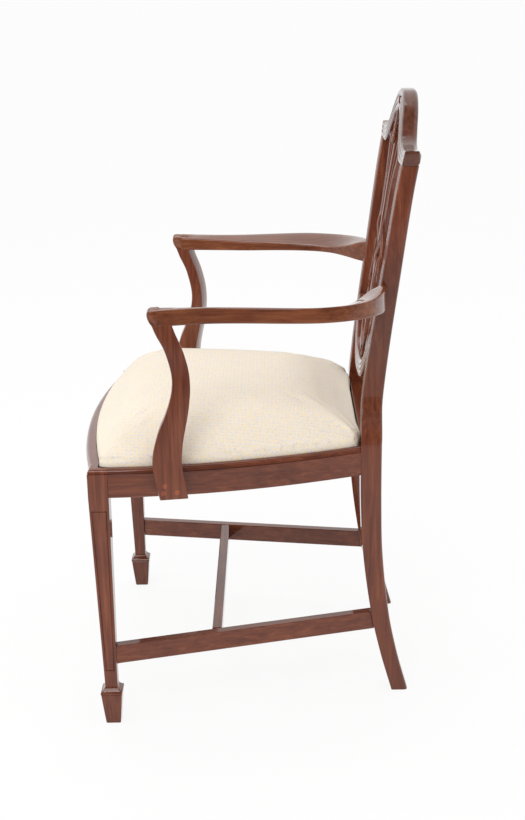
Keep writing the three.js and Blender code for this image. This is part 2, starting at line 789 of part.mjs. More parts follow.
// Outline of the lift-out seat at an inset from the recess walls, as a closed level ring
function seatOutline(inset, z) {
  const frontY = (x) => frontFace(x) + lipFront + inset;
  const sideX = (y) => sideFace(y) - lipSide - inset;
  const backY = postFront - seatClearance - Math.max(inset, 0);
  const radius = cornerRadius + Math.max(inset, 0) * cornerGrowthShare;
  const cornerX = sideX(legFront + lipFront + inset) - radius;
  const cornerY = frontY(cornerX) + radius;
  const right = [];
  for (let index = 0; index < frontPointsPerSide; index += 1) {
    const x = cornerX * ((index + midStep) / frontPointsPerSide);
    right.push([x, frontY(x)]);
  }
  for (let index = 0; index < cornerPoints; index += 1) {
    const angle = ((index + midStep) / cornerPoints) * Math.PI / 2;
    right.push([cornerX + radius * Math.sin(angle), cornerY - radius * Math.cos(angle)]);
  }
  for (let index = 0; index < sidePoints; index += 1) {
    const y = blend(cornerY, backY - radius / 2, (index + midStep) / (sidePoints - midStep));
    right.push([Math.min(sideX(y), cornerX + radius), y]);
  }
  for (let index = 0; index < backPointsPerSide; index += 1) {
    const x = (sideX(backY) - radius / 2) * (1 - index / backPointsPerSide);
    right.push([x, backY]);
  }
  const left = [...right].reverse().map(([x, y]) => [-x, y]);
  return [...right, ...left].map(([x, y]) => new THREE.Vector3(x, y, z));
}

const seatPlate = (inset, low, high) => loft([seatOutline(inset, low), seatOutline(inset, high)]);

const hemLow = ledge + gap;
const frameLow = hemLow + coverThickness + gap;
const frameHigh = frameLow + seatFrameThickness;
const webLow = frameHigh + gap;
const clothLow = webLow + 2 * webThickness + gap;
const stuffingLow = clothLow + clothThickness + gap;
const frameInset = seatClearance + coverThickness + gap;

// Cover: crowned top, sides down the frame and a hem turned under it
function coverBody() {
  const outerInset = seatClearance;
  const innerInset = outerInset + coverThickness;
  const crown = crownShares.map(([run, rise]) => [run * crownRun, rise * crownHeight]);
  const outer = [
    [hemWidth, hemLow], [outerInset, hemLow], [outerInset, frameHigh],
    ...crown.map(([run, rise]) => [outerInset + run, frameHigh + rise]),
  ];
  const inner = [
    [hemWidth, hemLow + coverThickness], [innerInset, hemLow + coverThickness], [innerInset, frameHigh],
    ...crown.map(([run, rise]) => [innerInset + run, frameHigh + rise - coverThickness]),
  ];
  const rings = [...outer.reverse(), ...inner];
  return loft(rings.map(([inset, z]) => seatOutline(inset, z)));
}

function stuffingBody() {
  const crown = crownShares.map(([run, rise]) => [run * crownRun, rise * crownHeight]);
  const rings = [[frameInset + crown[0][0], stuffingLow],
    ...crown.map(([run, rise]) => [frameInset + run, frameHigh + rise - coverThickness - gap])];
  return loft(rings.map(([inset, z]) => seatOutline(inset, z)));
}

// Seat frame: front and back members full width, side members tenoned between them
const frameFrontJoint = legFront + lipFront + frameInset + seatFrameWidth;
const frameBackJoint = postFront - seatClearance - frameInset - seatFrameWidth;

function seatFrameRing() {
  const outer = seatPlate(frameInset, frameLow, frameHigh);
  const inner = seatPlate(frameInset + seatFrameWidth, frameLow - overrun, frameHigh + overrun);
  return cut(outer, inner);
}

function seatTenon(y, direction, grow = 0) {
  const x = sideFace(y) - lipSide - frameInset - seatFrameWidth / 2;
  const middle = (frameLow + frameHigh) / 2;
  return block(
    [x - seatFrameWidth * tackingShare, y + direction * seatTenonLength, middle - seatTenonThickness / 2],
    [x + seatFrameWidth * tackingShare, y - direction * overrun, middle + seatTenonThickness / 2],
    grow,
  );
}

function seatFrameParts() {
  const ring = seatFrameRing();
  const wide = frontLegOuter;
  const slab = (y0, y1) => block([-wide, y0, frameLow - overrun], [wide, y1, frameHigh + overrun]);
  const half = (y0, y1) => block([0, y0, frameLow - overrun], [wide, y1, frameHigh + overrun]);
  const frontMortise = seatTenon(frameFrontJoint, -1, gap);
  const backMortise = seatTenon(frameBackJoint, 1, gap);
  const front = common(ring, slab(legFront - overrun - frontRailBow, frameFrontJoint));
  const back = common(ring, slab(frameBackJoint, postFront));
  const side = common(ring, half(frameFrontJoint + gap, frameBackJoint - gap));
  return {
    front: cut(front, frontMortise, mirrored(frontMortise)),
    back: cut(back, backMortise, mirrored(backMortise)),
    side: joined(side, seatTenon(frameFrontJoint, -1), seatTenon(frameBackJoint, 1)),
  };
}

function webbingBody() {
  const backY = postFront - seatClearance - frameInset;
  const landing = frameInset + seatFrameWidth * tackingShare;
  const offsets = (count, pitch) => Array.from(
    { length: count },
    (_, index) => (index - (count - 1) / 2) * pitch,
  );
  const middleY = (frameFrontJoint + frameBackJoint) / 2;
  const across = offsets(websAcross, webPitchAcross).map((offset) => {
    const y = middleY + offset;
    const reach = sideFace(y + webWidth / 2) - lipSide - landing - coverThickness;
    return block([-reach, y - webWidth / 2, webLow], [reach, y + webWidth / 2, webLow + webThickness]);
  });
  const upper = webLow + webThickness;
  const along = offsets(websAlong, webPitchAlong).map((x) => {
    const front = frontFace(Math.abs(x) + webWidth / 2) + lipFront + landing;
    const back = backY - seatFrameWidth * tackingShare;
    return block([x - webWidth / 2, front, upper], [x + webWidth / 2, back, upper + webThickness]);
  });
  return joined(...across, ...along);
}

// Screw along its own +Z from the tip at 0 to the flat of its head
function screwShape(length, grow = 0) {
  const neck = length - screwHeadHeight;
  const end = length + (grow > 0 ? overrun : 0);
  const profile = [
    [0, -grow], [screwRadius * screwTipShare + grow, -grow], [screwRadius + grow, screwPoint],
    [screwRadius + grow, neck - grow], [screwHeadRadius + grow, length - grow],
  ];
  if (grow > 0) profile.push([screwHeadRadius + grow, end]);
  return turned([...profile, [0, end]], screwSides);
}

function turned(profile, sides) {
  const lathe = new THREE.LatheGeometry(profile.map(([radius, z]) => new THREE.Vector2(radius, z)), sides);
  return lathe.rotateX(Math.PI / 2);
}

// Places a screw shape with its head at a point, driven along a direction
function driven(shape, length, head, direction) {
  const way = direction.clone().normalize();
  const turn = new THREE.Quaternion().setFromUnitVectors(new THREE.Vector3(0, 0, -1), way);
  const tip = head.clone().add(way.multiplyScalar(length));
  return shape.applyQuaternion(turn).translate(tip.x, tip.y, tip.z);
}

function pelletShape(grow = 0) {
  const reach = pelletDepth + (grow > 0 ? overrun : 0);
  const profile = [[0, -grow], [pelletRadius + grow, -grow], [pelletRadius + grow, reach], [0, reach]];
  return turned(profile, pelletSides);
}

const closed = (geometry) => {
  const bare = geometry.clone();
  bare.deleteAttribute('uv');
  bare.deleteAttribute('normal');
  return outward(mergeVertices(bare, weldDistance));
};

// Screws and pellets of one arm support, and the bores for them
function supportFixings() {
  const inward = new THREE.Vector3(-1, -supportTurn, 0).normalize();
  const outer = ([y, z]) => new THREE.Vector3(
    supportOuter - supportTurn * y, supportReference + y, supportBottom + z);
  const head = (spot) => outer(spot).addScaledVector(inward, pelletDepth + gap);
  const placed = (shape, length, spot) => closed(driven(shape, length, spot, inward));
  const screwLength = supportScrewLength;
  const screw = (grow) => (spot) => placed(screwShape(screwLength, grow), screwLength, head(spot));
  const pellet = (grow) => (spot) => placed(pelletShape(grow), pelletDepth, outer(spot));
  return {
    screws: supportScrewPlaces.map(screw(0)),
    screwBores: supportScrewPlaces.map(screw(gap)),
    pellets: supportScrewPlaces.map(pellet(0)),
    pelletBores: supportScrewPlaces.map(pellet(gap)),
  };
}

// Screw that holds the arm to the post, driven from the inner side of the stile
function armFixing() {
  const inner = postOuter(armScrewHeight) - postWidth(armScrewHeight);
  const y = backFace(armScrewHeight) + postDepth(armScrewHeight) * armScrewDepthShare;
  const direction = new THREE.Vector3(Math.cos(armScrewTurn), Math.sin(armScrewTurn), 0);
  const face = new THREE.Vector3(inner, y, armScrewHeight);
  const sink = direction.clone().multiplyScalar(pelletDepth + gap);
  const head = face.clone().add(sink);
  return {
    screw: closed(driven(screwShape(armScrewLength), armScrewLength, head, direction)),
    bore: closed(driven(screwShape(armScrewLength, gap), armScrewLength, head, direction)),
  };
}

// Corner block: a triangle in the corner of the rails, cut to what stands in it
function cornerBlock(cornerX, cornerY, leg, towardBack) {
  const shape = new THREE.Shape([
    new THREE.Vector2(cornerX, cornerY),
    new THREE.Vector2(cornerX - leg, cornerY),
    new THREE.Vector2(cornerX, cornerY - towardBack * leg),
  ]);
  const body = new THREE.ExtrudeGeometry(shape, { depth: blockHeight, bevelEnabled: false });
  return closed(body.translate(0, 0, blockBottom));
}

function blockScrews(cornerX, cornerY, leg, towardBack, length, grow = 0) {
  const direction = new THREE.Vector3(1, towardBack, 0).normalize();
  const along = new THREE.Vector3(1, -towardBack, 0).normalize();
  const face = new THREE.Vector3(cornerX - leg / 2, cornerY - towardBack * leg / 2, blockScrewHeight);
  return [-blockScrewSpread, blockScrewSpread].map((offset) => {
    const head = face.clone().add(along.clone().multiplyScalar(offset));
    head.add(direction.clone().multiplyScalar(blockScrewSink));
    return closed(driven(screwShape(length, grow), length, head, direction));
  });
}

// Stretchers
function sideStretcherRing(y, half, height, low) {
  const share = (y - legBack) / (backFace(stretcherTopBack) - legBack);
  const x = blend(stretcherOuterFront, stretcherOuterBack, share) - stretcherThickness / 2;
  const top = blend(stretcherTopFront, stretcherTopBack, share);
  return levelRing(x - half, x + half, top - low - height, top - low, 0, stretcherArris)
    .map((point) => new THREE.Vector3(point.x, y, point.y));
}

function sideStretcherBody() {
  const legThere = frontLegRing(stretcherTopFront, shaftSide(stretcherTopFront));
  const front = Math.max(...legThere.map((point) => point.y)) - stretcherBite;
  const back = backFace(stretcherTopBack) + stretcherBite;
  const half = stretcherThickness / 2;
  const long = loft([front, back].map((y) => sideStretcherRing(y, half, stretcherHeight, 0)));
  return { long, front, back };
}

function stretcherTenon(from, to, grow = 0) {
  const half = stretcherThickness / 2 - stretcherTenonShoulder + grow;
  const height = stretcherHeight - 2 * stretcherTenonShoulder + 2 * grow;
  const [start, end] = from < to ? [from, to + grow] : [from, to - grow];
  return loft([start, end].map((y) => sideStretcherRing(y, half, height, stretcherTenonShoulder - grow)));
}

const wasm = await Module();
wasm.setup();

// Build the mating pieces from one another
const legBody = frontLegBody();
const post = postBody();
const postSpace = postBlank();
const recess = seatPlate(0, ledge, seatRailTop + overrun);
const fixings = supportFixings();
const armScrew = armFixing();

const frontCorner = [sideFace(legBack) - railThickness, legFront + railThickness];
const rearCorner = [sideFace(postFront) - railThickness + rearBlockShift, rearRailFront - gap];
const frontScrews = blockScrews(...frontCorner, blockLeg, -1, blockScrewLength);
const rearScrews = blockScrews(...rearCorner, rearBlockLeg, 1, rearScrewLength);
const frontBores = blockScrews(...frontCorner, blockLeg, -1, blockScrewLength, gap);
const rearBores = blockScrews(...rearCorner, rearBlockLeg, 1, rearScrewLength, gap);

const stretcher = sideStretcherBody();
const legAtStretcher = stretcher.front + stretcherBite;
const postAtStretcher = stretcher.back - stretcherBite;
const frontStub = [legAtStretcher + overrun, legAtStretcher - stretcherTenonLength];
const backStub = [postAtStretcher - overrun, postAtStretcher + stretcherTenonLength];

function grownLeg() {
  const rings = steps(1).map((share) => {
    const z = blend(ankleHeight, seatRailBottom, share);
    return frontLegRing(z, blend(frontLegFootSide, frontLegSide, share) + 2 * gap);
  });
  return loft([...rings, frontLegRing(seatRailTop, frontLegSide + 2 * gap)]);
}

const legGrown = grownLeg();
const legMortises = [frontRailTenon(gap), sideRailFrontTenon(gap), stretcherTenon(...frontStub, gap)];
const frontLeg = cut(legBody, recess, ...legMortises);
const baseTenonHole = baseRailTenon(gap);

function stileTenon(grow = 0) {
  const z = crestJoint;
  const x = postOuter(z) - postWidth(z) / 2;
  const y = backFace(z) + postDepth(z) / 2 - legArris;
  return block(
    [x - stileTenonSide / 2, y - stileTenonSide / 2, z - stileTenonRise],
    [x + stileTenonSide / 2, y + stileTenonSide / 2, z + stileTenonRise],
    grow,
  );
}

const backPost = cut(joined(post, stileTenon()), sideRailBackTenon(gap), rearRailTenon(gap),
  stretcherTenon(...backStub, gap), baseTenonHole, armScrew.bore);

const crestMortises = [stileTenon(gap), mirrored(stileTenon(gap))];
const splatTop = crestLow(0);
const splatLow = baseRailCentre + baseRailWidth / 2;
const crestRail = cut(crestBody(), ...crestMortises, splatTenon(splatTop, 1, gap));

const postPair = [postSpace, mirrored(postSpace)];
const baseRail = cut(joined(cut(baseRailBody(), ...postPair), baseRailTenon(), mirrored(baseRailTenon())),
  splatTenon(splatLow, -1, gap));
const splat = joined(
  cut(splatBody(), crestBody(gap), baseRailBody(gap)),
  splatTenon(splatTop, 1),
  splatTenon(splatLow, -1),
);

const sideRailSolid = cut(joined(sideRailBody(), sideRailFrontTenon(), sideRailBackTenon()), recess);
const sideRail = cut(sideRailSolid, ...frontBores, ...rearBores, ...fixings.screwBores);
const frontRailTenons = [frontRailTenon(), mirrored(frontRailTenon())];
const frontRail = cut(
  joined(frontRailBody(), ...frontRailTenons),
  recess,
  ...frontBores,
  ...frontBores.map(mirrored),
);
const rearRail = cut(joined(rearRailBody(), rearRailTenon(), mirrored(rearRailTenon())),
  ...rearBores, ...rearBores.map(mirrored));

const support = cut(joined(supportBody(), supportTenon()), sideRailBody(gap), ...fixings.screwBores,
  ...fixings.pelletBores);
const arm = cut(armBody(), postSpace, supportTenon(gap), armScrew.bore);

const frontBlock = cut(
  cornerBlock(...frontCorner, blockLeg, -1),
  legGrown,
  sideRailBody(gap),
  frontRailBody(gap),
  ...frontBores,
);
const rearBlock = cut(
  cornerBlock(...rearCorner, rearBlockLeg, 1),
  postSpace,
  sideRailBody(gap),
  rearRailBody(gap),
  ...rearBores,
);

const bearerHalfLength = rearCorner[0] - rearBlockLeg - bearerClearance;
const bearer = block(
  [-bearerHalfLength, rearRailFront - gap - bearerDepth, ledge - bearerHeight],
  [bearerHalfLength, rearRailFront - gap, ledge],
);

function crossStretcher() {
  const ring = sideStretcherRing(crossStretcherPlace, stretcherThickness / 2, stretcherHeight, 0);
  const inner = Math.min(...ring.map((point) => point.x)) - crossEndRelief;
  const top = Math.max(...ring.map((point) => point.z));
  const y = crossStretcherPlace;
  const section = levelRing(y - crossStretcherWidth / 2, y + crossStretcherWidth / 2,
    top - crossStretcherHeight, top, 0, stretcherArris);
  const ringAt = (x) => section.map((point) => new THREE.Vector3(x, point.x, point.y));
  const body = loft([gap - inner, inner - gap].map(ringAt));
  const tenon = (grow) => block(
    [-inner - crossTenonLength, y - tenonThickness / 2, top - crossStretcherHeight + stretcherTenonShoulder],
    [inner + crossTenonLength, y + tenonThickness / 2, top - stretcherTenonShoulder],
    grow,
  );
  return { piece: joined(body, tenon(0)), mortise: tenon(gap) };
}

const cross = crossStretcher();
const sideStretcher = cut(
  joined(cut(stretcher.long, legGrown, postSpace), stretcherTenon(...frontStub), stretcherTenon(...backStub)),
  cross.mortise,
);

const seatFrame = seatFrameParts();
const hessianInset = frameInset + seatFrameWidth * tackingShare;
const hessianCloth = seatPlate(hessianInset, clothLow, clothLow + clothThickness);

// Named pieces: [name, geometry, material]; a pair is built left and mirrored right
const pieces = [
  ['front_seat_rail', frontRail, mahogany()],
  ['rear_seat_rail', rearRail, mahogany()],
  ['rear_seat_bearer', bearer, beech()],
  ['crest_rail', crestRail, mahogany()],
  ['shield_base_rail', baseRail, mahogany()],
  ['splat', splat, mahogany()],
  ['cross_stretcher', cross.piece, mahogany()],
  ['seat_frame_front', seatFrame.front, pine()],
  ['seat_frame_back', seatFrame.back, pine()],
  ['seat_webbing', webbingBody(), jute()],
  ['seat_hessian', hessianCloth, hessian()],
  ['seat_stuffing', stuffingBody(), hair()],
  ['seat_cover', coverBody(), damask()],
  ['seat_bottoming', seatPlate(bottomingInset, hemLow - gap - clothThickness, hemLow - gap), hessian()],
];

const pairs = [
  ['front_leg', frontLeg, mahogany],
  ['back_post', backPost, mahogany],
  ['side_seat_rail', sideRail, mahogany],
  ['side_stretcher', sideStretcher, mahogany],
  ['arm_support', support, mahogany],
  ['arm', arm, mahogany],
  ['front_corner_block', frontBlock, beech],
  ['rear_corner_block', rearBlock, beech],
  ['seat_frame_side', seatFrame.side, pine],
];
const numbered = (name, geometries, material) => geometries.map((geometry, index) => [
  `${name}_${index + 1}`, geometry, material,
]);
pairs.push(
  ['arm_screw', armScrew.screw, steel],
  ...numbered('front_block_screw', frontScrews, steel),
  ...numbered('rear_block_screw', rearScrews, steel),
  ...numbered('arm_support_screw', fixings.screws, steel),
  ...numbered('arm_support_pellet', fixings.pellets, pelletWood),
);
pairs.forEach(([name, geometry, material]) => {
  pieces.push([`${name}_left`, geometry, material()], [`${name}_right`, mirrored(geometry), material()]);
});

const chair = new THREE.Group();
pieces.forEach(([name, geometry, material]) => {
  const mesh = new THREE.Mesh(geometry, material);
  mesh.name = name;
  chair.add(mesh);
});

// Stand the chair with the middle of its outer box over the origin
const reach = new THREE.Box3().setFromObject(chair);
chair.position.y = -(reach.min.y + reach.max.y) / 2;

export default chair;
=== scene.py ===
"""Open armchair with a shield shaped back, dressed for its studio picture.

The workshop classes below model the show wood, the stuffed seat and the small fittings in millimetres,
in the frame that the sizes were taken in, and hand them to the bench, which places them in metres.
"""

import logging
import math
from collections.abc import Callable, Iterable, Sequence
from dataclasses import dataclass
from enum import Enum

import bmesh
import bpy
from bpy.types import Material, Node, NodeOutputs, NodeSocket, Object, World
from mathutils import Matrix, Vector
from mathutils.bvhtree import BVHTree


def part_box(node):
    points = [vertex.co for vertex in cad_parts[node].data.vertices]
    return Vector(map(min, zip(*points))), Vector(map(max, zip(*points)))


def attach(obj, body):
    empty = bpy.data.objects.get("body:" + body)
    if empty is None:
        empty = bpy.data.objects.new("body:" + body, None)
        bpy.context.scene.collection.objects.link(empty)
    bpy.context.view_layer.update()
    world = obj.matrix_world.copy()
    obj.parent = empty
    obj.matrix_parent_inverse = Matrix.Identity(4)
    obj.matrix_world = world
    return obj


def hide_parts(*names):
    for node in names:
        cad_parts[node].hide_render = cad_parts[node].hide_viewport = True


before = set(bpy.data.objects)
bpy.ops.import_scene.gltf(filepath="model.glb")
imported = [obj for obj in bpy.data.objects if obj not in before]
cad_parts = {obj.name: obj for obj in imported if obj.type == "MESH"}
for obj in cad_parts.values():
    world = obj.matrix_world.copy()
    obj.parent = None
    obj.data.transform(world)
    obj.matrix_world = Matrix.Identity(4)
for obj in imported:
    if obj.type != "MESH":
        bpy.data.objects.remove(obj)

logging.basicConfig(level=logging.INFO, format="%(name)s: %(message)s")
log = logging.getLogger("armchair")

Body = bmesh.types.BMesh
Rows = Sequence[Sequence[float]]
Ring = list[Vector]
Pair = tuple[float, float]
Colour = tuple[float, float, float]
Place = float | Vector
Value = NodeSocket | float
Paint = NodeSocket | Colour

MILLIMETRE = 0.001
QUARTER = math.pi / 2
CHAIR_BODY = "chair_frame"
SEAT_BODY = "drop_in_seat"
SIDES = ("left", "right")
WHITE = (1.0, 1.0, 1.0)


def blend(start: float, end: float, share: float) -> float:
    """Value a share of the way from start to end."""
    return start + (end - start) * share


def eased(share: float) -> float:
    """Share held between 0 and 1, with soft ends."""
    held = min(max(share, 0.0), 1.0)
    return held * held * (3.0 - 2.0 * held)


def shares(count: int) -> list[float]:
    """Even shares from 0 to 1, one more than count."""
    return [index / count for index in range(count + 1)]


def middles(count: int) -> list[float]:
    """Shares of the middles of count even parts."""
    return [(index + 0.5) / count for index in range(count)]


def hermite(t: float, start: Place, leave: Place, end: Place, arrive: Place, run: float = 1.0) -> Place:
    """Place on a smooth piece of curve.

    Args:
        t: share of the piece, from 0 to 1.
        start: where it starts.
        leave: slope at the start.
        end: where it ends.
        arrive: slope at the end.
        run: length that the slopes are for.

    Returns:
        The place at the share.
    """
    t2, t3 = t * t, t * t * t
    return (
        (2 * t3 - 3 * t2 + 1) * start
        + (t3 - 2 * t2 + t) * run * leave
        + (3 * t2 - 2 * t3) * end
        + (t3 - t2) * run * arrive
    )


def smooth(table: Rows, at: float) -> float:
    """Smooth curve through the rows of a table.

    Args:
        table: rows of (place, value), places rising.
        at: the place that is asked for.

    Returns:
        The value there, held level past the ends.
    """
    last = len(table) - 1
    if at <= table[0][0]:
        return table[0][1]
    if at >= table[last][0]:
        return table[last][1]
    row = next(index for index in range(last, -1, -1) if table[index][0] <= at)

    def slope(index: int) -> float:
        """Slope at a row, from its neighbours."""
        before, after = table[max(index - 1, 0)], table[min(index + 1, last)]
        return (after[1] - before[1]) / (after[0] - before[0])

    start, end = table[row], table[row + 1]
    run = end[0] - start[0]
    return hermite((at - start[0]) / run, start[1], slope(row), end[1], slope(row + 1), run)


class Grain(Enum):
    """Way that the grain of a piece runs."""

    ACROSS = 0
    ALONG = 1
    UPRIGHT = 2


@dataclass(frozen=True)
class ChairPlan:
    """Sizes of the chair's outline that several sub-assemblies share, in millimetres."""

    height: float = 965.0
    rail_top: float = 432.0
    rail_bottom: float = 386.0
    post_front: float = 170.5
    leg_front: float = -249.5
    leg_side: float = 31.4
    leg_outer: float = 280.4
    post_seat_outer: float = 196.5
    post_foot_outer: float = 181.2
    rear_kick: float = 52.7
    rake: float = 74.7
    neck_outer: float = 164.4
    neck_height: float = 500.0
    sweep_start: float = 440.0
    stile_top_outer: float = 203.6
    crest_joint: float = 868.0
    crest_half: float = 213.6
    ear_height: float = 892.7
    crest_arch: float = 65.0
    front_bow: float = 25.5
    side_bow: float = 19.0
    lip_side: float = 11.0
    lip_front: float = 16.0
    ledge: float = 418.0
    rear_rail_front: float = 172.0
    kick_rows: Rows = ((0, 1), (0.16, 0.64), (0.333, 0.34), (0.58, 0.08), (0.79, 0), (1, 0))
    rake_rows: Rows = (
        (0, 0), (0.112, 0.039), (0.28, 0.188), (0.505, 0.429), (0.729, 0.666), (0.841, 0.805), (1, 1),
    )
    flare_rows: Rows = ((0, 0), (0.136, 0.05), (0.3, 0.2), (0.54, 0.5), (0.78, 0.79), (1, 1))
    crest_top_rows: Rows = (
        (0, 1), (0.117, 0.972), (0.234, 0.855), (0.351, 0.654), (0.468, 0.364),
        (0.585, 0.115), (0.702, 0.004), (0.82, -0.037), (0.936, -0.024), (1, 0),
    )
    crest_low_rows: Rows = (
        (0, 1), (0.22, 0.877), (0.35, 0.63), (0.54, 0.277), (0.7, 0.062), (0.84, -0.02), (1, 0),
    )

    @property
    def leg_back(self) -> float:
        """Back face of a front leg at the rail."""
        return self.leg_front + self.leg_side

    @property
    def leg_inner(self) -> float:
        """Inner face of a front leg at the rail."""
        return self.leg_outer - self.leg_side

    def sweep(self, z: float) -> float:
        """How far the post has turned into the stile at a height."""
        return eased((z - self.sweep_start) / (self.neck_height - self.sweep_start))

    def back_face(self, z: float) -> float:
        """Front face of the posts and the raked shield.

        Args:
            z: height above the floor.

        Returns:
            How far back the face lies there.
        """
        if z < self.rail_top:
            return self.post_front + self.rear_kick * smooth(self.kick_rows, z / self.rail_top)
        share = (z - self.rail_top) / (self.height - self.rail_top)
        return self.post_front + self.rake * smooth(self.rake_rows, share)

    def post_outer(self, z: float) -> float:
        """Outer face of a back post.

        Args:
            z: height above the floor.

        Returns:
            How far out the face lies there.
        """
        if z < self.sweep_start:
            return blend(self.post_foot_outer, self.post_seat_outer, eased(z / self.rail_bottom))
        if z < self.neck_height:
            return blend(self.post_seat_outer, self.neck_outer, self.sweep(z))
        share = (z - self.neck_height) / (self.crest_joint - self.neck_height)
        return blend(self.neck_outer, self.stile_top_outer, smooth(self.flare_rows, share))

    def front_face(self, x: float) -> float:
        """Outer face of the bowed front rail at a place across the chair."""
        share = min(1.0, abs(x) / self.leg_inner)
        return self.leg_front - self.front_bow * (1 - share**2)

    def side_face(self, y: float) -> float:
        """Outer face of the bowed side rail.

        Args:
            y: place from front to back.

        Returns:
            How far out the face lies there.
        """
        if y < self.leg_back:
            return self.leg_outer
        share = (y - self.leg_back) / (self.post_front - self.leg_back)
        straight = blend(self.leg_outer, self.post_seat_outer, share)
        return straight + self.side_bow * (1 - (2 * share - 1) ** 2)

    def crest_top(self, x: float) -> float:
        """Top edge of the crest rail."""
        return blend(self.ear_height, self.height, smooth(self.crest_top_rows, abs(x) / self.crest_half))


PLAN = ChairPlan()


class Loft:
    """Closed body made by extruding a ring of points from station to station."""

    def __init__(self, ring: Ring) -> None:
        """Starts the body.

        Args:
            ring: its first ring, which is capped.
        """
        self.mesh = bmesh.new()
        self.ring = [self.mesh.verts.new(place) for place in ring]
        self.mesh.faces.new(self.ring)

    def to(self, ring: Ring) -> None:
        """Extrudes the open end.

        Args:
            ring: the places that its points move on to.
        """
        following = self.ring[1:] + self.ring[:1]
        edges = [self.mesh.edges.get(ends) for ends in zip(self.ring, following)]
        made = bmesh.ops.extrude_edge_only(self.mesh, edges=edges)["geom"]
        fresh = {item for item in made if isinstance(item, bmesh.types.BMVert)}
        moved = []
        for vert, place in zip(self.ring, ring):
            joined = (edge.other_vert(vert) for edge in vert.link_edges)
            twin = next(other for other in joined if other in fresh)
            twin.co = place
            moved.append(twin)
        self.ring = moved

    def close(self) -> Body:
        """Caps the open end and turns the faces outward.

        Returns:
            The closed body.
        """
        self.mesh.faces.new(self.ring)
        bmesh.ops.recalc_face_normals(self.mesh, faces=self.mesh.faces)
        return self.mesh


def lofted(rings: Sequence[Ring]) -> Body:
    """Closed body through a row of rings.

    Args:
        rings: the rings, each with as many points.

    Returns:
        The body.
    """
    body = Loft(rings[0])
    for ring in rings[1:]:
        body.to(ring)
    return body.close()


def merged(parts: Iterable[Body]) -> Body:
    """One body out of several.

    Args:
        parts: the bodies, which are freed.

    Returns:
        The body that holds them all.
    """
    whole = bmesh.new()
    for part in parts:
        mesh = bpy.data.meshes.new("part")
        part.to_mesh(mesh)
        part.free()
        whole.from_mesh(mesh)
        bpy.data.meshes.remove(mesh)
    return whole


def mirrored(body: Body) -> Body:
    """Mirror image of a body across the chair's middle.

    Args:
        body: the body, which stays as it is.

    Returns:
        Its mirror image, faces outward.
    """
    twin = body.copy()
    bmesh.ops.scale(twin, vec=(-1, 1, 1), verts=twin.verts)
    bmesh.ops.reverse_faces(twin, faces=twin.faces)
    return twin


class Curve2D:
    """Smooth flat curve through points, walked by its length."""

    samples = 240
    shortest = 1e-9

    def __init__(self, points: Sequence[Pair]) -> None:
        """Samples the curve finely and measures it.

        Args:
            points: the points that it runs through.
        """
        count = len(points) - 1
        self.dots = [self.at(points, share * count) for share in shares(self.samples)]
        self.lengths = [0.0]
        for before, after in zip(self.dots, self.dots[1:]):
            self.lengths.append(self.lengths[-1] + (after - before).length)

    @staticmethod
    def at(points: Sequence[Pair], place: float) -> Vector:
        """Point of the curve.

        Args:
            points: the points that it runs through.
            place: the place, counted in points.

        Returns:
            The point there.
        """
        last = len(points) - 1
        index = min(int(place), last - 1)
        four = [Vector(points[min(max(index + step, 0), last)]) for step in (-1, 0, 1, 2)]
        return hermite(place - index, four[1], (four[2] - four[0]) / 2, four[2], (four[3] - four[1]) / 2)

    def walk(self, share: float) -> tuple[Vector, Vector]:
        """Point and direction at a share of the length.

        Args:
            share: how far along the curve, from 0 to 1.

        Returns:
            The point there and the unit tangent.
        """
        wanted = share * self.lengths[-1]
        last = len(self.dots) - 2
        index = next((i for i in range(last + 1) if self.lengths[i + 1] >= wanted), last)
        before, after = self.dots[index], self.dots[index + 1]
        span = max(self.lengths[index + 1] - self.lengths[index], self.shortest)
        return before.lerp(after, (wanted - self.lengths[index]) / span), (after - before).normalized()


@dataclass(frozen=True)
class Moulding:
    """Section of a bar with half round reeds on its face."""

    reeds: int = 3
    relief: float = 2.3
    reed_points: int = 5
    reed_fullness: float = 0.6
    shoulder: float = 0.8
    corner: float = 6.0
    corner_points: int = 5
    corner_limits: Pair = (2.4, 3.0)

    def back_corner(self, width: float, depth: float, radius: float) -> list[Pair]:
        """Rounded corner between the back and the left side of the section.

        Args:
            width: width of the bar.
            depth: its depth.
            radius: radius of the corner, held to a part of the width and of the depth.

        Returns:
            The points of the corner.
        """
        held = min(radius, width / self.corner_limits[0], depth / self.corner_limits[1])
        turns = [QUARTER * (1 - share) for share in shares(self.corner_points)]
        return [
            (-width / 2 + held * (1 - math.cos(turn)), depth - held * (1 - math.sin(turn))) for turn in turns
        ]

    def section(
        self, width: float, depth: float, strength: float = 1.0, right_corner: float | None = None
    ) -> list[Pair]:
        """Points of the section, as (across, back from the face).

        Args:
            width: width of the face.
            depth: depth of the bar behind its face.
            strength: 1 for full reeds and 0 for a plain face.
            right_corner: rounding of the right back corner, where it differs from the left one.

        Returns:
            The points, in order.
        """
        half = width / 2
        left = self.back_corner(width, depth, self.corner)
        pitch = width / self.reeds
        low = self.relief * strength + self.shoulder
        face = [(-half, low)]
        for reed in range(self.reeds):
            for step in range(self.reed_points + (reed == self.reeds - 1)):
                share = step / self.reed_points
                lift = math.sin(math.pi * share) ** self.reed_fullness if 0 < share < 1 else 0.0
                face.append((-half + pitch * (reed + share), self.relief * strength * (1 - lift)))
        face.append((half, low))
        twin = self.back_corner(width, depth, self.corner if right_corner is None else right_corner)
        return left + face + [(-across, back) for across, back in reversed(twin)]


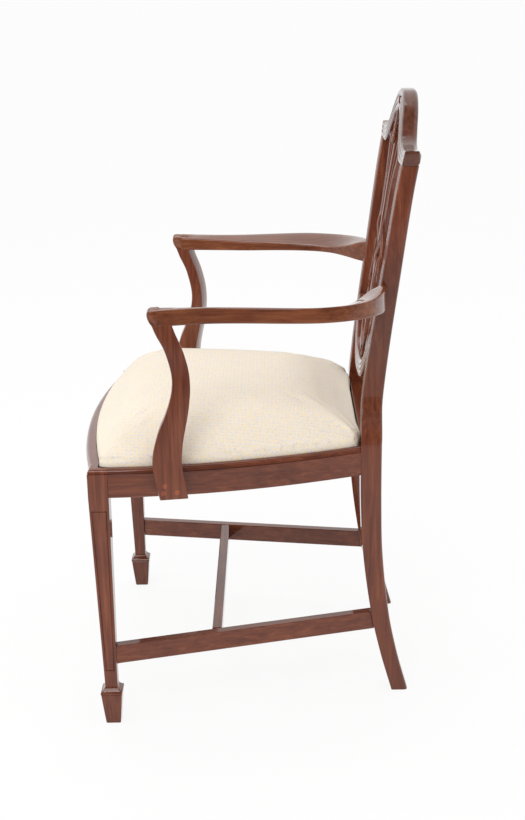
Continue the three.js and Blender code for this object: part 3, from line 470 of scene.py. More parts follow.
class Bench:
    """Places finished bodies in the frame: metres, right body, material and shading."""

    arris_angle = 50.0
    arris_steps = 2

    def __init__(self, plan: ChairPlan) -> None:
        """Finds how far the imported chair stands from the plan's own middle.

        Args:
            plan: the plan.
        """
        rail_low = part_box("rear_seat_rail")[0].y / MILLIMETRE
        self.shift = Vector((0, rail_low - plan.rear_rail_front, 0))
        self.materials: dict[str, Material] = {}

    def material(self, finish: "Finish") -> Material:
        """Material of a finish, made once.

        Args:
            finish: the finish.

        Returns:
            Its material.
        """
        if finish.name not in self.materials:
            self.materials[finish.name] = finish.build()
        return self.materials[finish.name]

    def place(
        self,
        body: Body,
        name: str,
        finish: "Finish",
        nodes: Sequence[str],
        rides: str = CHAIR_BODY,
        slot: str = "mahogany",
        crease: float = 32.0,
        bevel: float = 0.0,
    ) -> Object:
        """Makes a piece of the chair out of a body.

        Args:
            body: the body, in the plan's millimetres; it is freed.
            name: name of the piece.
            finish: its finish.
            nodes: CAD nodes that the piece stands for.
            rides: body of the chair that carries it.
            slot: not used; it names the slot of the record for its finish.
            crease: angle in degrees above which an edge stays crisp.
            bevel: width of the softened arrises, or 0.

        Returns:
            The piece's object.
        """
        bmesh.ops.translate(body, vec=self.shift, verts=body.verts)
        bmesh.ops.scale(body, vec=(MILLIMETRE,) * 3, verts=body.verts)
        limit = math.radians(crease)
        for face in body.faces:
            face.smooth = True
        for edge in body.edges:
            edge.smooth = edge.calc_face_angle(0.0) < limit
        mesh = bpy.data.meshes.new(name)
        body.to_mesh(mesh)
        body.free()
        piece = bpy.data.objects.new(name, mesh)
        bpy.context.scene.collection.objects.link(piece)
        mesh.materials.append(self.material(finish))
        if bevel:
            softened = piece.modifiers.new("soft arris", "BEVEL")
            softened.width = bevel * MILLIMETRE
            softened.segments = self.arris_steps
            softened.limit_method = "ANGLE"
            softened.angle_limit = math.radians(self.arris_angle)
            softened.harden_normals = False
        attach(piece, rides)
        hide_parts(*nodes)
        log.info("%s: %d faces", name, len(mesh.polygons))
        return piece

    def pair(self, body: Body, name: str, finish: "Finish", node: str, **facts: object) -> None:
        """Makes the left piece from a body and the right one as its mirror image.

        Args:
            body: the left body; it is freed.
            name: name of the pieces without their side.
            finish: their finish.
            node: name of the CAD nodes without their side.
            facts: what else the bench needs to place a piece.
        """
        for side, half in zip(SIDES, (body, mirrored(body))):
            self.place(half, f"{name}_{side}", finish, [f"{node}_{side}"], **facts)

    def dress(self, finish: "Finish", *nodes: str) -> None:
        """Gives carried-over CAD nodes a finish.

        Args:
            finish: the finish.
            nodes: names of the nodes.
        """
        for name in nodes:
            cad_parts[name].material_slots[0].material = self.material(finish)


@dataclass(frozen=True)
class Noise:
    """Sizes of a noise texture; a stretch below 1 draws it out along the grain."""

    scale: float
    detail: float = 4.0
    roughness: float = 0.55
    distortion: float = 0.0
    stretch: float = 1.0


class Graph:
    """Small helper that builds the nodes of a material or of the world."""

    def __init__(self, owner: Material | World) -> None:
        """Takes the nodes of their owner.

        Args:
            owner: the material or world.
        """
        owner.use_nodes = True
        self.owner = owner
        self.tree = owner.node_tree
        self.shader = next(node for node in self.tree.nodes if node.type in ("BSDF_PRINCIPLED", "BACKGROUND"))

    def node(self, kind: str, inputs: dict[str, object] | None = None, **settings: object) -> Node:
        """Makes a node.

        Args:
            kind: its type.
            inputs: values of its inputs.
            settings: its other settings.

        Returns:
            The node.
        """
        made = self.tree.nodes.new(kind)
        for key, value in settings.items():
            setattr(made, key, value)
        for key, value in (inputs or {}).items():
            made.inputs[key].default_value = value
        return made

    def feed(self, target: NodeSocket, value: Value | Colour) -> None:
        """Gives an input its value.

        Args:
            target: the input.
            value: a number, a colour or the output that is linked to it.
        """
        if isinstance(value, NodeSocket):
            self.tree.links.new(value, target)
        else:
            target.default_value = (*value, 1.0) if isinstance(value, tuple) else value

    def give(self, **values: Value | Colour) -> None:
        """Gives inputs of the shader their values; a low line in a name stands for a space."""
        for key, value in values.items():
            self.feed(self.shader.inputs[key.replace("_", " ")], value)

    def coordinates(self, scale: Sequence[float]) -> NodeSocket:
        """Object coordinates stretched by a scale."""
        mapping = self.node("ShaderNodeMapping", {"Scale": scale})
        self.feed(mapping.inputs["Vector"], self.node("ShaderNodeTexCoord").outputs["Object"])
        return mapping.outputs["Vector"]

    def split(self, vector: NodeSocket) -> NodeOutputs:
        """Parts of a vector by the names of their axes."""
        parts = self.node("ShaderNodeSeparateXYZ")
        self.feed(parts.inputs["Vector"], vector)
        return parts.outputs

    def noise(self, noise: Noise, grain: Grain = Grain.ACROSS) -> NodeSocket:
        """Value of a noise texture.

        Args:
            noise: sizes of the noise.
            grain: way that it is stretched.

        Returns:
            The output that holds the value.
        """
        inputs = {
            "Scale": noise.scale, "Detail": noise.detail,
            "Roughness": noise.roughness, "Distortion": noise.distortion,
        }
        made = self.node("ShaderNodeTexNoise", inputs)
        stretch = tuple(noise.stretch if index == grain.value else 1.0 for index in range(3))
        self.feed(made.inputs["Vector"], self.coordinates(stretch))
        return made.outputs["Fac"]

    def ramp(self, value: NodeSocket, *stops: tuple[float, Colour]) -> NodeSocket:
        """Colours spread over a value.

        Args:
            value: the value.
            stops: places and their colours.

        Returns:
            The output that holds the colour.
        """
        made = self.node("ShaderNodeValToRGB")
        elements = made.color_ramp.elements
        while len(elements) < len(stops):
            elements.new(0.5)
        for element, (place, colour) in zip(elements, stops):
            element.position = place
            element.color = (*colour, 1.0)
        self.feed(made.inputs["Fac"], value)
        return made.outputs["Color"]

    def spread(
        self, value: NodeSocket, low: float, high: float, start: float = 0.3, end: float = 0.7
    ) -> NodeSocket:
        """Value moved into another range.

        Args:
            value: the value.
            low: what it becomes at the start.
            high: what it becomes at the end.
            start: where its own range starts.
            end: where that range ends.

        Returns:
            The output that holds the new value.
        """
        limits = {"From Min": start, "From Max": end, "To Min": low, "To Max": high}
        made = self.node("ShaderNodeMapRange", limits)
        self.feed(made.inputs["Value"], value)
        return made.outputs["Result"]

    def sum(self, kind: str, first: Value, second: Value = 0.0) -> NodeSocket:
        """Arithmetic on one or two values.

        Args:
            kind: the operation.
            first: first value.
            second: second value, where the operation has one.

        Returns:
            The output that holds the result.
        """
        made = self.node("ShaderNodeMath", operation=kind)
        self.feed(made.inputs[0], first)
        self.feed(made.inputs[1], second)
        return made.outputs["Value"]

    def mix(self, share: Value, first: Paint, second: Paint, kind: str = "MIX") -> NodeSocket:
        """Mix of two colours.

        Args:
            share: share of the second colour.
            first: first colour.
            second: second colour.
            kind: way that they mix.

        Returns:
            The output that holds the colour.
        """
        made = self.node("ShaderNodeMix", data_type="RGBA", blend_type=kind)
        colours = [socket for socket in made.inputs if socket.type == "RGBA"]
        for socket, value in zip((made.inputs[0], *colours), (share, first, second)):
            self.feed(socket, value)
        return next(socket for socket in made.outputs if socket.type == "RGBA")

    def bump(self, height: NodeSocket, strength: float, distance: float) -> None:
        """Gives the surface relief.

        Args:
            height: height of the relief, as a share.
            strength: how strongly it shows.
            distance: depth of the relief in metres.
        """
        made = self.node("ShaderNodeBump", {"Strength": strength, "Distance": distance})
        self.feed(made.inputs["Height"], height)
        self.give(Normal=made.outputs["Normal"])


@dataclass(frozen=True)
class Finish:
    """Finish of a surface; each kind lays the nodes of its own material."""

    name: str

    def build(self) -> Material:
        """Builds the material."""
        graph = Graph(bpy.data.materials.new(self.name))
        self.lay(graph)
        return graph.owner

    def lay(self, graph: Graph) -> None:
        """Lays the nodes."""
        raise NotImplementedError


@dataclass(frozen=True)
class PolishedMahogany(Finish):
    """French polished mahogany with a straight figure and fine pores."""

    grain: Grain = Grain.UPRIGHT
    deep: Colour = (0.098, 0.020, 0.008)
    warm: Colour = (0.153, 0.037, 0.014)
    light: Colour = (0.214, 0.063, 0.025)
    dull_shade: Colour = (0.74, 0.68, 0.68)
    bright_shade: Colour = (1.12, 1.12, 1.12)
    figure: Noise = Noise(150.0, 5.0, 0.62, 0.5, 0.05)
    figure_stops: Sequence[float] = (0.3, 0.5, 0.72)
    cloud: Noise = Noise(16.0, 3.0, stretch=0.3)
    cloud_stops: Pair = (0.32, 0.68)
    pores: Noise = Noise(620.0, 2.0, 0.4, stretch=0.03)
    pore_range: Pair = (0.62, 0.72)
    pore_strength: float = 0.55
    wear: Noise = Noise(26.0)
    roughness: Pair = (0.28, 0.42)
    specular: float = 0.08
    coat: float = 1.0
    coat_ior: float = 1.45
    coat_roughness: float = 0.05
    relief: Pair = (0.12, 0.0004)

    def lay(self, graph: Graph) -> None:
        """Lays the figure, the pores and the polish."""
        figure = graph.noise(self.figure, self.grain)
        colour = graph.ramp(figure, *zip(self.figure_stops, (self.deep, self.warm, self.light)))
        cloud = graph.noise(self.cloud, self.grain)
        shade = graph.ramp(cloud, *zip(self.cloud_stops, (self.dull_shade, self.bright_shade)))
        colour = graph.mix(1.0, colour, shade, "MULTIPLY")
        pores = graph.spread(graph.noise(self.pores, self.grain), 0.0, 1.0, *self.pore_range)
        colour = graph.mix(graph.sum("MULTIPLY", pores, self.pore_strength), colour, self.deep)
        wear = graph.noise(self.wear)
        graph.give(
            Base_Color=colour,
            Roughness=graph.spread(wear, *self.roughness),
            Specular_IOR_Level=self.specular,
            Coat_Weight=self.coat,
            Coat_IOR=self.coat_ior,
            Coat_Roughness=self.coat_roughness,
        )
        graph.bump(graph.sum("SUBTRACT", wear, pores), *self.relief)


@dataclass(frozen=True)
class PlainWood(Finish):
    """Unfinished timber of the hidden frame and blocks."""

    grain: Grain = Grain.ACROSS
    deep: Colour = (0.34, 0.20, 0.10)
    light: Colour = (0.58, 0.40, 0.23)
    figure: Noise = Noise(55.0, 5.0, 0.6, 0.8, 0.06)
    stops: Pair = (0.3, 0.7)
    roughness: Pair = (0.6, 0.78)
    relief: Pair = (0.2, 0.0005)

    def lay(self, graph: Graph) -> None:
        """Lays the figure."""
        figure = graph.noise(self.figure, self.grain)
        colour = graph.ramp(figure, *zip(self.stops, (self.deep, self.light)))
        graph.give(Base_Color=colour, Roughness=graph.spread(figure, *self.roughness))
        graph.bump(figure, *self.relief)


@dataclass(frozen=True)
class Steel(Finish):
    """Dull steel of the screws."""

    dark: Colour = (0.26, 0.25, 0.24)
    bright: Colour = (0.5, 0.49, 0.47)
    marks: Noise = Noise(300.0, 3.0, stretch=8.0)
    stops: Pair = (0.3, 0.7)
    roughness: Pair = (0.32, 0.55)

    def lay(self, graph: Graph) -> None:
        """Lays the marks of the tool."""
        marks = graph.noise(self.marks, Grain.UPRIGHT)
        colour = graph.ramp(marks, *zip(self.stops, (self.dark, self.bright)))
        graph.give(Base_Color=colour, Roughness=graph.spread(marks, *self.roughness), Metallic=1.0)


@dataclass(frozen=True)
class CoarseWeave(Finish):
    """Webbing, hessian and the stuffing's fibres."""

    deep: Colour
    light: Colour
    pitch: float
    stops: Pair = (0.15, 0.85)
    fuzz: Noise = Noise(900.0, 3.0)
    fuzz_range: Pair = (0.6, 1.1)
    roughness: float = 0.95
    relief: Pair = (0.6, 0.0006)

    def lay(self, graph: Graph) -> None:
        """Lays the threads."""
        place = graph.split(graph.coordinates((1 / self.pitch,) * 3))
        waves = [
            graph.sum("ABSOLUTE", graph.sum("SINE", graph.sum("MULTIPLY", place[axis], math.pi)))
            for axis in "XY"
        ]
        fuzz = graph.spread(graph.noise(self.fuzz), *self.fuzz_range)
        value = graph.sum("MULTIPLY", graph.sum("MAXIMUM", *waves), fuzz)
        colour = graph.ramp(value, *zip(self.stops, (self.deep, self.light)))
        graph.give(Base_Color=colour, Roughness=self.roughness)
        graph.bump(value, *self.relief)


@dataclass(frozen=True)
class CheckedCloth(Finish):
    """Cream cover cloth with a small broken check of pale yellow and lilac grey."""

    cream: Colour = (0.885, 0.80, 0.69)
    yellow: Colour = (0.93, 0.76, 0.43)
    lilac: Colour = (0.73, 0.68, 0.69)
    cloud_shade: Colour = (0.93, 0.93, 0.93)
    check: float = 0.0078
    check_length: float = 0.8
    thread: float = 0.0014
    drift: float = 0.0024
    wobble: Noise = Noise(150.0, 2.0)
    broken: Noise = Noise(230.0, 2.0)
    faintest: float = 0.25
    cloud: Noise = Noise(14.0, 3.0)
    cloud_stops: Pair = (0.3, 0.7)
    cloud_strength: float = 0.5
    yellow_range: Pair = (-0.2, 1.2)
    lilac_range: Pair = (-1.3, -0.1)
    roughness: float = 0.88
    sheen: float = 0.15
    relief: Pair = (0.35, 0.0004)
    uv_name: str = "cloth"

    def lay(self, graph: Graph) -> None:
        """Lays the check and the threads along the cloth's own map."""
        wobble = graph.noise(self.wobble)
        drift = graph.node("ShaderNodeCombineXYZ")
        graph.feed(drift.inputs["X"], graph.spread(wobble, -self.drift, self.drift))
        graph.feed(drift.inputs["Y"], graph.spread(wobble, self.drift, -self.drift))
        shifted = graph.node("ShaderNodeVectorMath", operation="ADD")
        graph.feed(shifted.inputs[0], graph.node("ShaderNodeUVMap", uv_map=self.uv_name).outputs["UV"])
        graph.feed(shifted.inputs[1], drift.outputs["Vector"])
        place = graph.split(shifted.outputs["Vector"])

        def waves(axis: str, pitch: float) -> NodeSocket:
            """Even rise and fall between -1 and 1, once in twice the pitch."""
            return graph.sum("SINE", graph.sum("MULTIPLY", place[axis], math.pi / pitch))

        threads = [graph.sum("ABSOLUTE", waves(axis, self.thread)) for axis in "XY"]
        chequer = graph.sum("ADD", waves("X", self.check / 2), waves("Y", self.check * self.check_length / 2))
        broken = graph.spread(graph.noise(self.broken), self.faintest, 1.0)
        yellow = graph.sum("MULTIPLY", graph.spread(chequer, 0.0, 1.0, *self.yellow_range), broken)
        lilac = graph.sum("MULTIPLY", graph.spread(chequer, 1.0, 0.0, *self.lilac_range), broken)
        colour = graph.mix(lilac, graph.mix(yellow, self.cream, self.yellow), self.lilac)
        cloud = graph.ramp(graph.noise(self.cloud), *zip(self.cloud_stops, (self.cloud_shade, WHITE)))
        colour = graph.mix(self.cloud_strength, colour, cloud, "MULTIPLY")
        graph.give(Base_Color=colour, Roughness=self.roughness, Sheen_Weight=self.sheen)
        graph.bump(graph.sum("MAXIMUM", *threads), *self.relief)


UPRIGHT = PolishedMahogany("mahogany upright", Grain.UPRIGHT)
ALONG = PolishedMahogany("mahogany along", Grain.ALONG)
ACROSS = PolishedMahogany("mahogany across", Grain.ACROSS)
ARMS = PolishedMahogany(
    "mahogany of the arms", Grain.ALONG, (0.112, 0.027, 0.009), (0.180, 0.050, 0.017), (0.250, 0.086, 0.032)
)
CREST = PolishedMahogany(
    "mahogany of the crest", Grain.ACROSS, (0.074, 0.019, 0.009), (0.112, 0.032, 0.015), (0.160, 0.055, 0.026)
)
PELLET = PolishedMahogany(
    "mahogany pellet", Grain.UPRIGHT, (0.18, 0.036, 0.011), (0.27, 0.062, 0.020), (0.34, 0.09, 0.03)
)
BEECH = PlainWood("beech", Grain.ALONG)
PINE = PlainWood("pine", Grain.ACROSS, (0.42, 0.27, 0.13), (0.68, 0.5, 0.3))
SCREW_STEEL = Steel("screw steel")
WEBBING = CoarseWeave("jute webbing", (0.24, 0.15, 0.08), (0.5, 0.36, 0.2), 0.003)
HESSIAN = CoarseWeave("hessian", (0.2, 0.14, 0.08), (0.44, 0.33, 0.2), 0.0018)
HAIR = CoarseWeave("hair stuffing", (0.06, 0.045, 0.03), (0.2, 0.15, 0.1), 0.006)
COVER = CheckedCloth("cover cloth")


@dataclass(frozen=True)
class BackPosts:
    """Swept back legs that run up into the reeded stiles of the shield."""

    foot_width: float = 29.3
    seat_width: float = 30.0
    neck_width: float = 28.5
    top_width: float = 31.0
    foot_depth: float = 26.5
    seat_depth: float = 33.4
    top_depth: float = 26.5
    stations: int = 96
    let_in: float = 1.5
    arris: float = 0.6
    moulding: Moulding = Moulding()

    def width(self, z: float) -> float:
        """Width of the post across the chair.

        Args:
            z: height above the floor.

        Returns:
            The width there.
        """
        if z < PLAN.sweep_start:
            return blend(self.foot_width, self.seat_width, min(1.0, z / PLAN.rail_bottom))
        if z < PLAN.neck_height:
            return blend(self.seat_width, self.neck_width, PLAN.sweep(z))
        share = (z - PLAN.neck_height) / (PLAN.crest_joint - PLAN.neck_height)
        return blend(self.neck_width, self.top_width, share)

    def depth(self, z: float) -> float:
        """Depth of the post behind its face.

        Args:
            z: height above the floor.

        Returns:
            The depth there.
        """
        if z < PLAN.rail_top:
            return blend(self.foot_depth, self.seat_depth, eased(z / PLAN.rail_bottom))
        share = (z - PLAN.rail_top) / (PLAN.crest_joint - PLAN.rail_top)
        return blend(self.seat_depth, self.top_depth, eased(share))

    def ring(self, z: float) -> Ring:
        """Section of the post.

        Args:
            z: height above the floor.

        Returns:
            The points of the section there.
        """
        middle = PLAN.post_outer(z) - self.width(z) / 2
        section = self.moulding.section(self.width(z), self.depth(z), PLAN.sweep(z))
        return [Vector((middle + across, PLAN.back_face(z) + back, z)) for across, back in section]

    def build(self, bench: Bench) -> None:
        """Builds both posts.

        Args:
            bench: the bench that places them.
        """
        top = PLAN.crest_joint + self.let_in
        body = lofted([self.ring(share * top) for share in shares(self.stations)])
        bench.pair(body, "reeded_post", UPRIGHT, "back_post", bevel=self.arris)


@dataclass(frozen=True)
class Husks:
    """Carved ear of husks, a row of leaves in pairs with a bud at its top."""

    pairs: int = 6
    foot: float = 886.0
    pitch: float = 9.5
    shrink: float = 0.07
    leaf: Sequence[float] = (3.4, 2.6, 8.6)
    leaf_out: float = 4.6
    leaf_proud: float = 1.4
    leaf_turn: float = 0.42
    leaf_nod: float = -0.14
    bud: Sequence[float] = (2.8, 2.4, 8.0)
    bud_height: float = 946.0
    bud_proud: float = 1.2
    segments: int = 12
    bands: int = 8

    def drop(self, size: Sequence[float], place: Matrix) -> Body:
        """One leaf or bud.

        Args:
            size: its half sizes.
            place: its place and turn.

        Returns:
            The body.
        """
        body = bmesh.new()
        bmesh.ops.create_uvsphere(body, u_segments=self.segments, v_segments=self.bands, radius=1.0)
        bmesh.ops.scale(body, vec=size, verts=body.verts)
        bmesh.ops.transform(body, matrix=place, verts=body.verts)
        return body

    def bodies(self) -> list[Body]:
        """Bodies of all the leaves and of the bud.

        Returns:
            The bodies.
        """
        carved = []
        for index in range(self.pairs):
            z = self.foot + index * self.pitch
            size = 1.0 - self.shrink * index
            for side in (-1, 1):
                turn = Matrix.Rotation(side * self.leaf_turn, 4, "Y") @ Matrix.Rotation(self.leaf_nod, 4, "X")
                face = PLAN.back_face(z) + self.leaf_proud
                place = Matrix.Translation((side * self.leaf_out * size, face, z))
                carved.append(self.drop([half * size for half in self.leaf], place @ turn))
        top = (0, PLAN.back_face(self.bud_height) + self.bud_proud, self.bud_height)
        return [*carved, self.drop(self.bud, Matrix.Translation(top))]


@dataclass(frozen=True)
class Shield:
    """Crest rail, base rail and pierced splat between the stiles."""

    crest_depth: float = 24.8
    crest_end_depth: float = 26.5
    crest_round: float = 8.0
    crest_stations: int = 140
    crest_arris: float = 0.5
    ear_lip: float = 4.0
    ear_round: float = 5.0
    stile_width: float = 31.0
    base_width: float = 27.0
    base_depth: float = 20.0
    base_centre: float = 514.0
    base_rise: float = 80.0
    base_reach: float = 145.0
    base_stations: int = 64
    splat_set_back: float = 4.8
    splat_depth: float = 9.0
    splat_foot: float = 541.0
    splat_head: float = 903.0
    splat_reach: float = 106.0
    outer_width: float = 12.5
    inner_width: float = 10.0
    centre_width: float = 14.0
    centre_proud: float = 0.8
    centre_top: float = 940.0
    outer_stations: int = 120
    inner_stations: int = 100
    centre_stations: int = 30
    lift: float = 2.8
    crossings: Sequence[float] = (0.0, 0.307, 0.439, 0.562)
    crossing_spread: float = 0.04
    base_rows: Rows = ((0, 0), (0.35, 0.075), (0.62, 0.34), (0.84, 0.69), (1, 1))
    outer_rows: Rows = (
        (0, 0), (0.321, 0.028), (0.538, 0.069), (0.623, 0.124), (0.585, 0.185), (0.481, 0.246),
        (0.34, 0.309), (0.17, 0.376), (0, 0.439), (-0.189, 0.5), (-0.349, 0.561), (-0.434, 0.66),
        (-0.491, 0.771), (-0.575, 0.826), (-0.698, 0.878), (-0.849, 0.948), (-0.972, 1),
    )
    inner_rows: Rows = (
        (0.045, 0.02), (0.142, 0.086), (0.226, 0.157), (0.283, 0.235), (0.349, 0.307), (0.472, 0.354),
        (0.547, 0.406), (0.519, 0.456), (0.434, 0.508), (0.349, 0.564), (0.302, 0.646), (0.292, 0.743),
        (0.33, 0.854), (0.406, 0.964), (0.491, 1.061),
    )
    moulding: Moulding = Moulding()
    rib_moulding: Moulding = Moulding(reeds=3, relief=1.8, reed_points=4, corner=1.5, corner_points=2)
    husks: Husks = Husks()

    def crest_low(self, x: float) -> float:
        """Underside of the crest rail.

        Args:
            x: place across the chair.

        Returns:
            The height there.
        """
        inner = PLAN.stile_top_outer - self.stile_width
        if abs(x) > PLAN.stile_top_outer:
            share = (abs(x) - PLAN.stile_top_outer) / (PLAN.crest_half - PLAN.stile_top_outer)
            return blend(PLAN.crest_joint, PLAN.ear_height - self.ear_lip, share)
        if abs(x) > inner:
            return PLAN.crest_joint
        return PLAN.crest_joint + PLAN.crest_arch * smooth(PLAN.crest_low_rows, abs(x) / inner)

    def crest(self) -> Body:
        """Body of the crest rail.

        Returns:
            The body.
        """
        rings = []
        for share in shares(self.crest_stations):
            x = blend(-PLAN.crest_half, PLAN.crest_half, share)
            low, top = self.crest_low(x), PLAN.crest_top(x)
            flare = max(0.0, abs(x) - PLAN.stile_top_outer) / (PLAN.crest_half - PLAN.stile_top_outer)
            depth = blend(self.crest_depth, self.crest_end_depth, abs(x) / PLAN.crest_half)
            section = self.moulding.section(
                top - low, depth - self.ear_round * flare, right_corner=self.crest_round
            )
            middle = (low + top) / 2
            rings.append([
                Vector((x, PLAN.back_face(middle + rise) + back, middle + rise)) for rise, back in section
            ])
        return lofted(rings)

    def bar(
        self,
        points: Sequence[Pair],
        stations: int,
        width: float,
        depth: float,
        set_back: float,
        moulding: Moulding,
        lift: Callable[[float], float] = lambda height: 0.0,
    ) -> Body:
        """Reeded bar that follows a curve on the raked face of the shield.

        Args:
            points: points of the curve, as (across, height).
            stations: number of steps along it.
            width: width of the bar.
            depth: its depth.
            set_back: how far its face lies behind the shield's face.
            moulding: its section.
            lift: how far the bar stands back at a height.

        Returns:
            The closed body.
        """
        curve = Curve2D(points)
        section = moulding.section(width, depth)
        rings = []
        for share in shares(stations):
            place, along = curve.walk(share)
            rings.append([
                Vector((
                    place.x + along.y * across,
                    PLAN.back_face(place.y - along.x * across) + set_back + back + lift(place.y),
                    place.y - along.x * across,
                ))
                for across, back in section
            ])
        return lofted(rings)

    def base(self) -> Body:
        """Body of the curved base rail.

        Returns:
            The body.
        """
        half = [
            (x * self.base_reach, blend(self.base_centre, self.base_centre + self.base_rise, z))
            for x, z in self.base_rows
        ]
        points = [(-x, z) for x, z in reversed(half[1:])] + half
        return self.bar(points, self.base_stations, self.base_width, self.base_depth, 0.0, self.moulding)

    def weave(self, *signs: int) -> Callable[[float], float]:
        """How a rib passes over and under the others.

        Args:
            signs: for each crossing from the foot, -1 where it passes over, 1 where under, 0 where neither.

        Returns:
            How far the rib stands back at a height.
        """

        def lift(height: float) -> float:
            """Sum of the swells at the crossings.

            Args:
                height: height of the place.

            Returns:
                How far the rib stands back there.
            """
            at = (height - self.splat_foot) / (self.splat_head - self.splat_foot)
            swells = (math.exp(-(((at - place) / self.crossing_spread) ** 2)) for place in self.crossings)
            return self.lift * sum(sign * swell for sign, swell in zip(signs, swells))

        return lift

    def rib(
        self, points: Sequence[Pair], width: float, stations: int, lift: Callable[[float], float]
    ) -> Body:
        """One rib of the splat; the arguments are those of a bar."""
        depth, set_back = self.splat_depth, self.splat_set_back
        return self.bar(points, stations, width, depth, set_back, self.rib_moulding, lift)

    def splat(self) -> Body:
        """Body of the interlaced splat.

        Returns:
            The body.
        """
        ribs = []
        for rows, width, stations, signs in (
            (self.outer_rows, self.outer_width, self.outer_stations, (1, -1, 1, -1)),
            (self.inner_rows, self.inner_width, self.inner_stations, (0, 1, 0, -1)),
        ):
            for side in (1, -1):
                points = [
                    (side * x * self.splat_reach, blend(self.splat_foot, self.splat_head, z)) for x, z in rows
                ]
                ribs.append(self.rib(points, width, stations, self.weave(*(side * sign for sign in signs))))
        line = [(0.0, self.splat_foot - self.outer_width), (0.0, self.centre_top)]
        centre = self.rib(line, self.centre_width, self.centre_stations, lambda height: -self.centre_proud)
        return merged([centre, *ribs, *self.husks.bodies()])

    def build(self, bench: Bench) -> None:
        """Builds the crest, the base rail and the splat.

        Args:
            bench: the bench that places them.
        """
        bench.place(self.crest(), "serpentine_crest", CREST, ["crest_rail"], bevel=self.crest_arris)
        bench.place(self.base(), "curved_base_rail", ACROSS, ["shield_base_rail"])
        bench.place(self.splat(), "carved_splat", UPRIGHT, ["splat"])


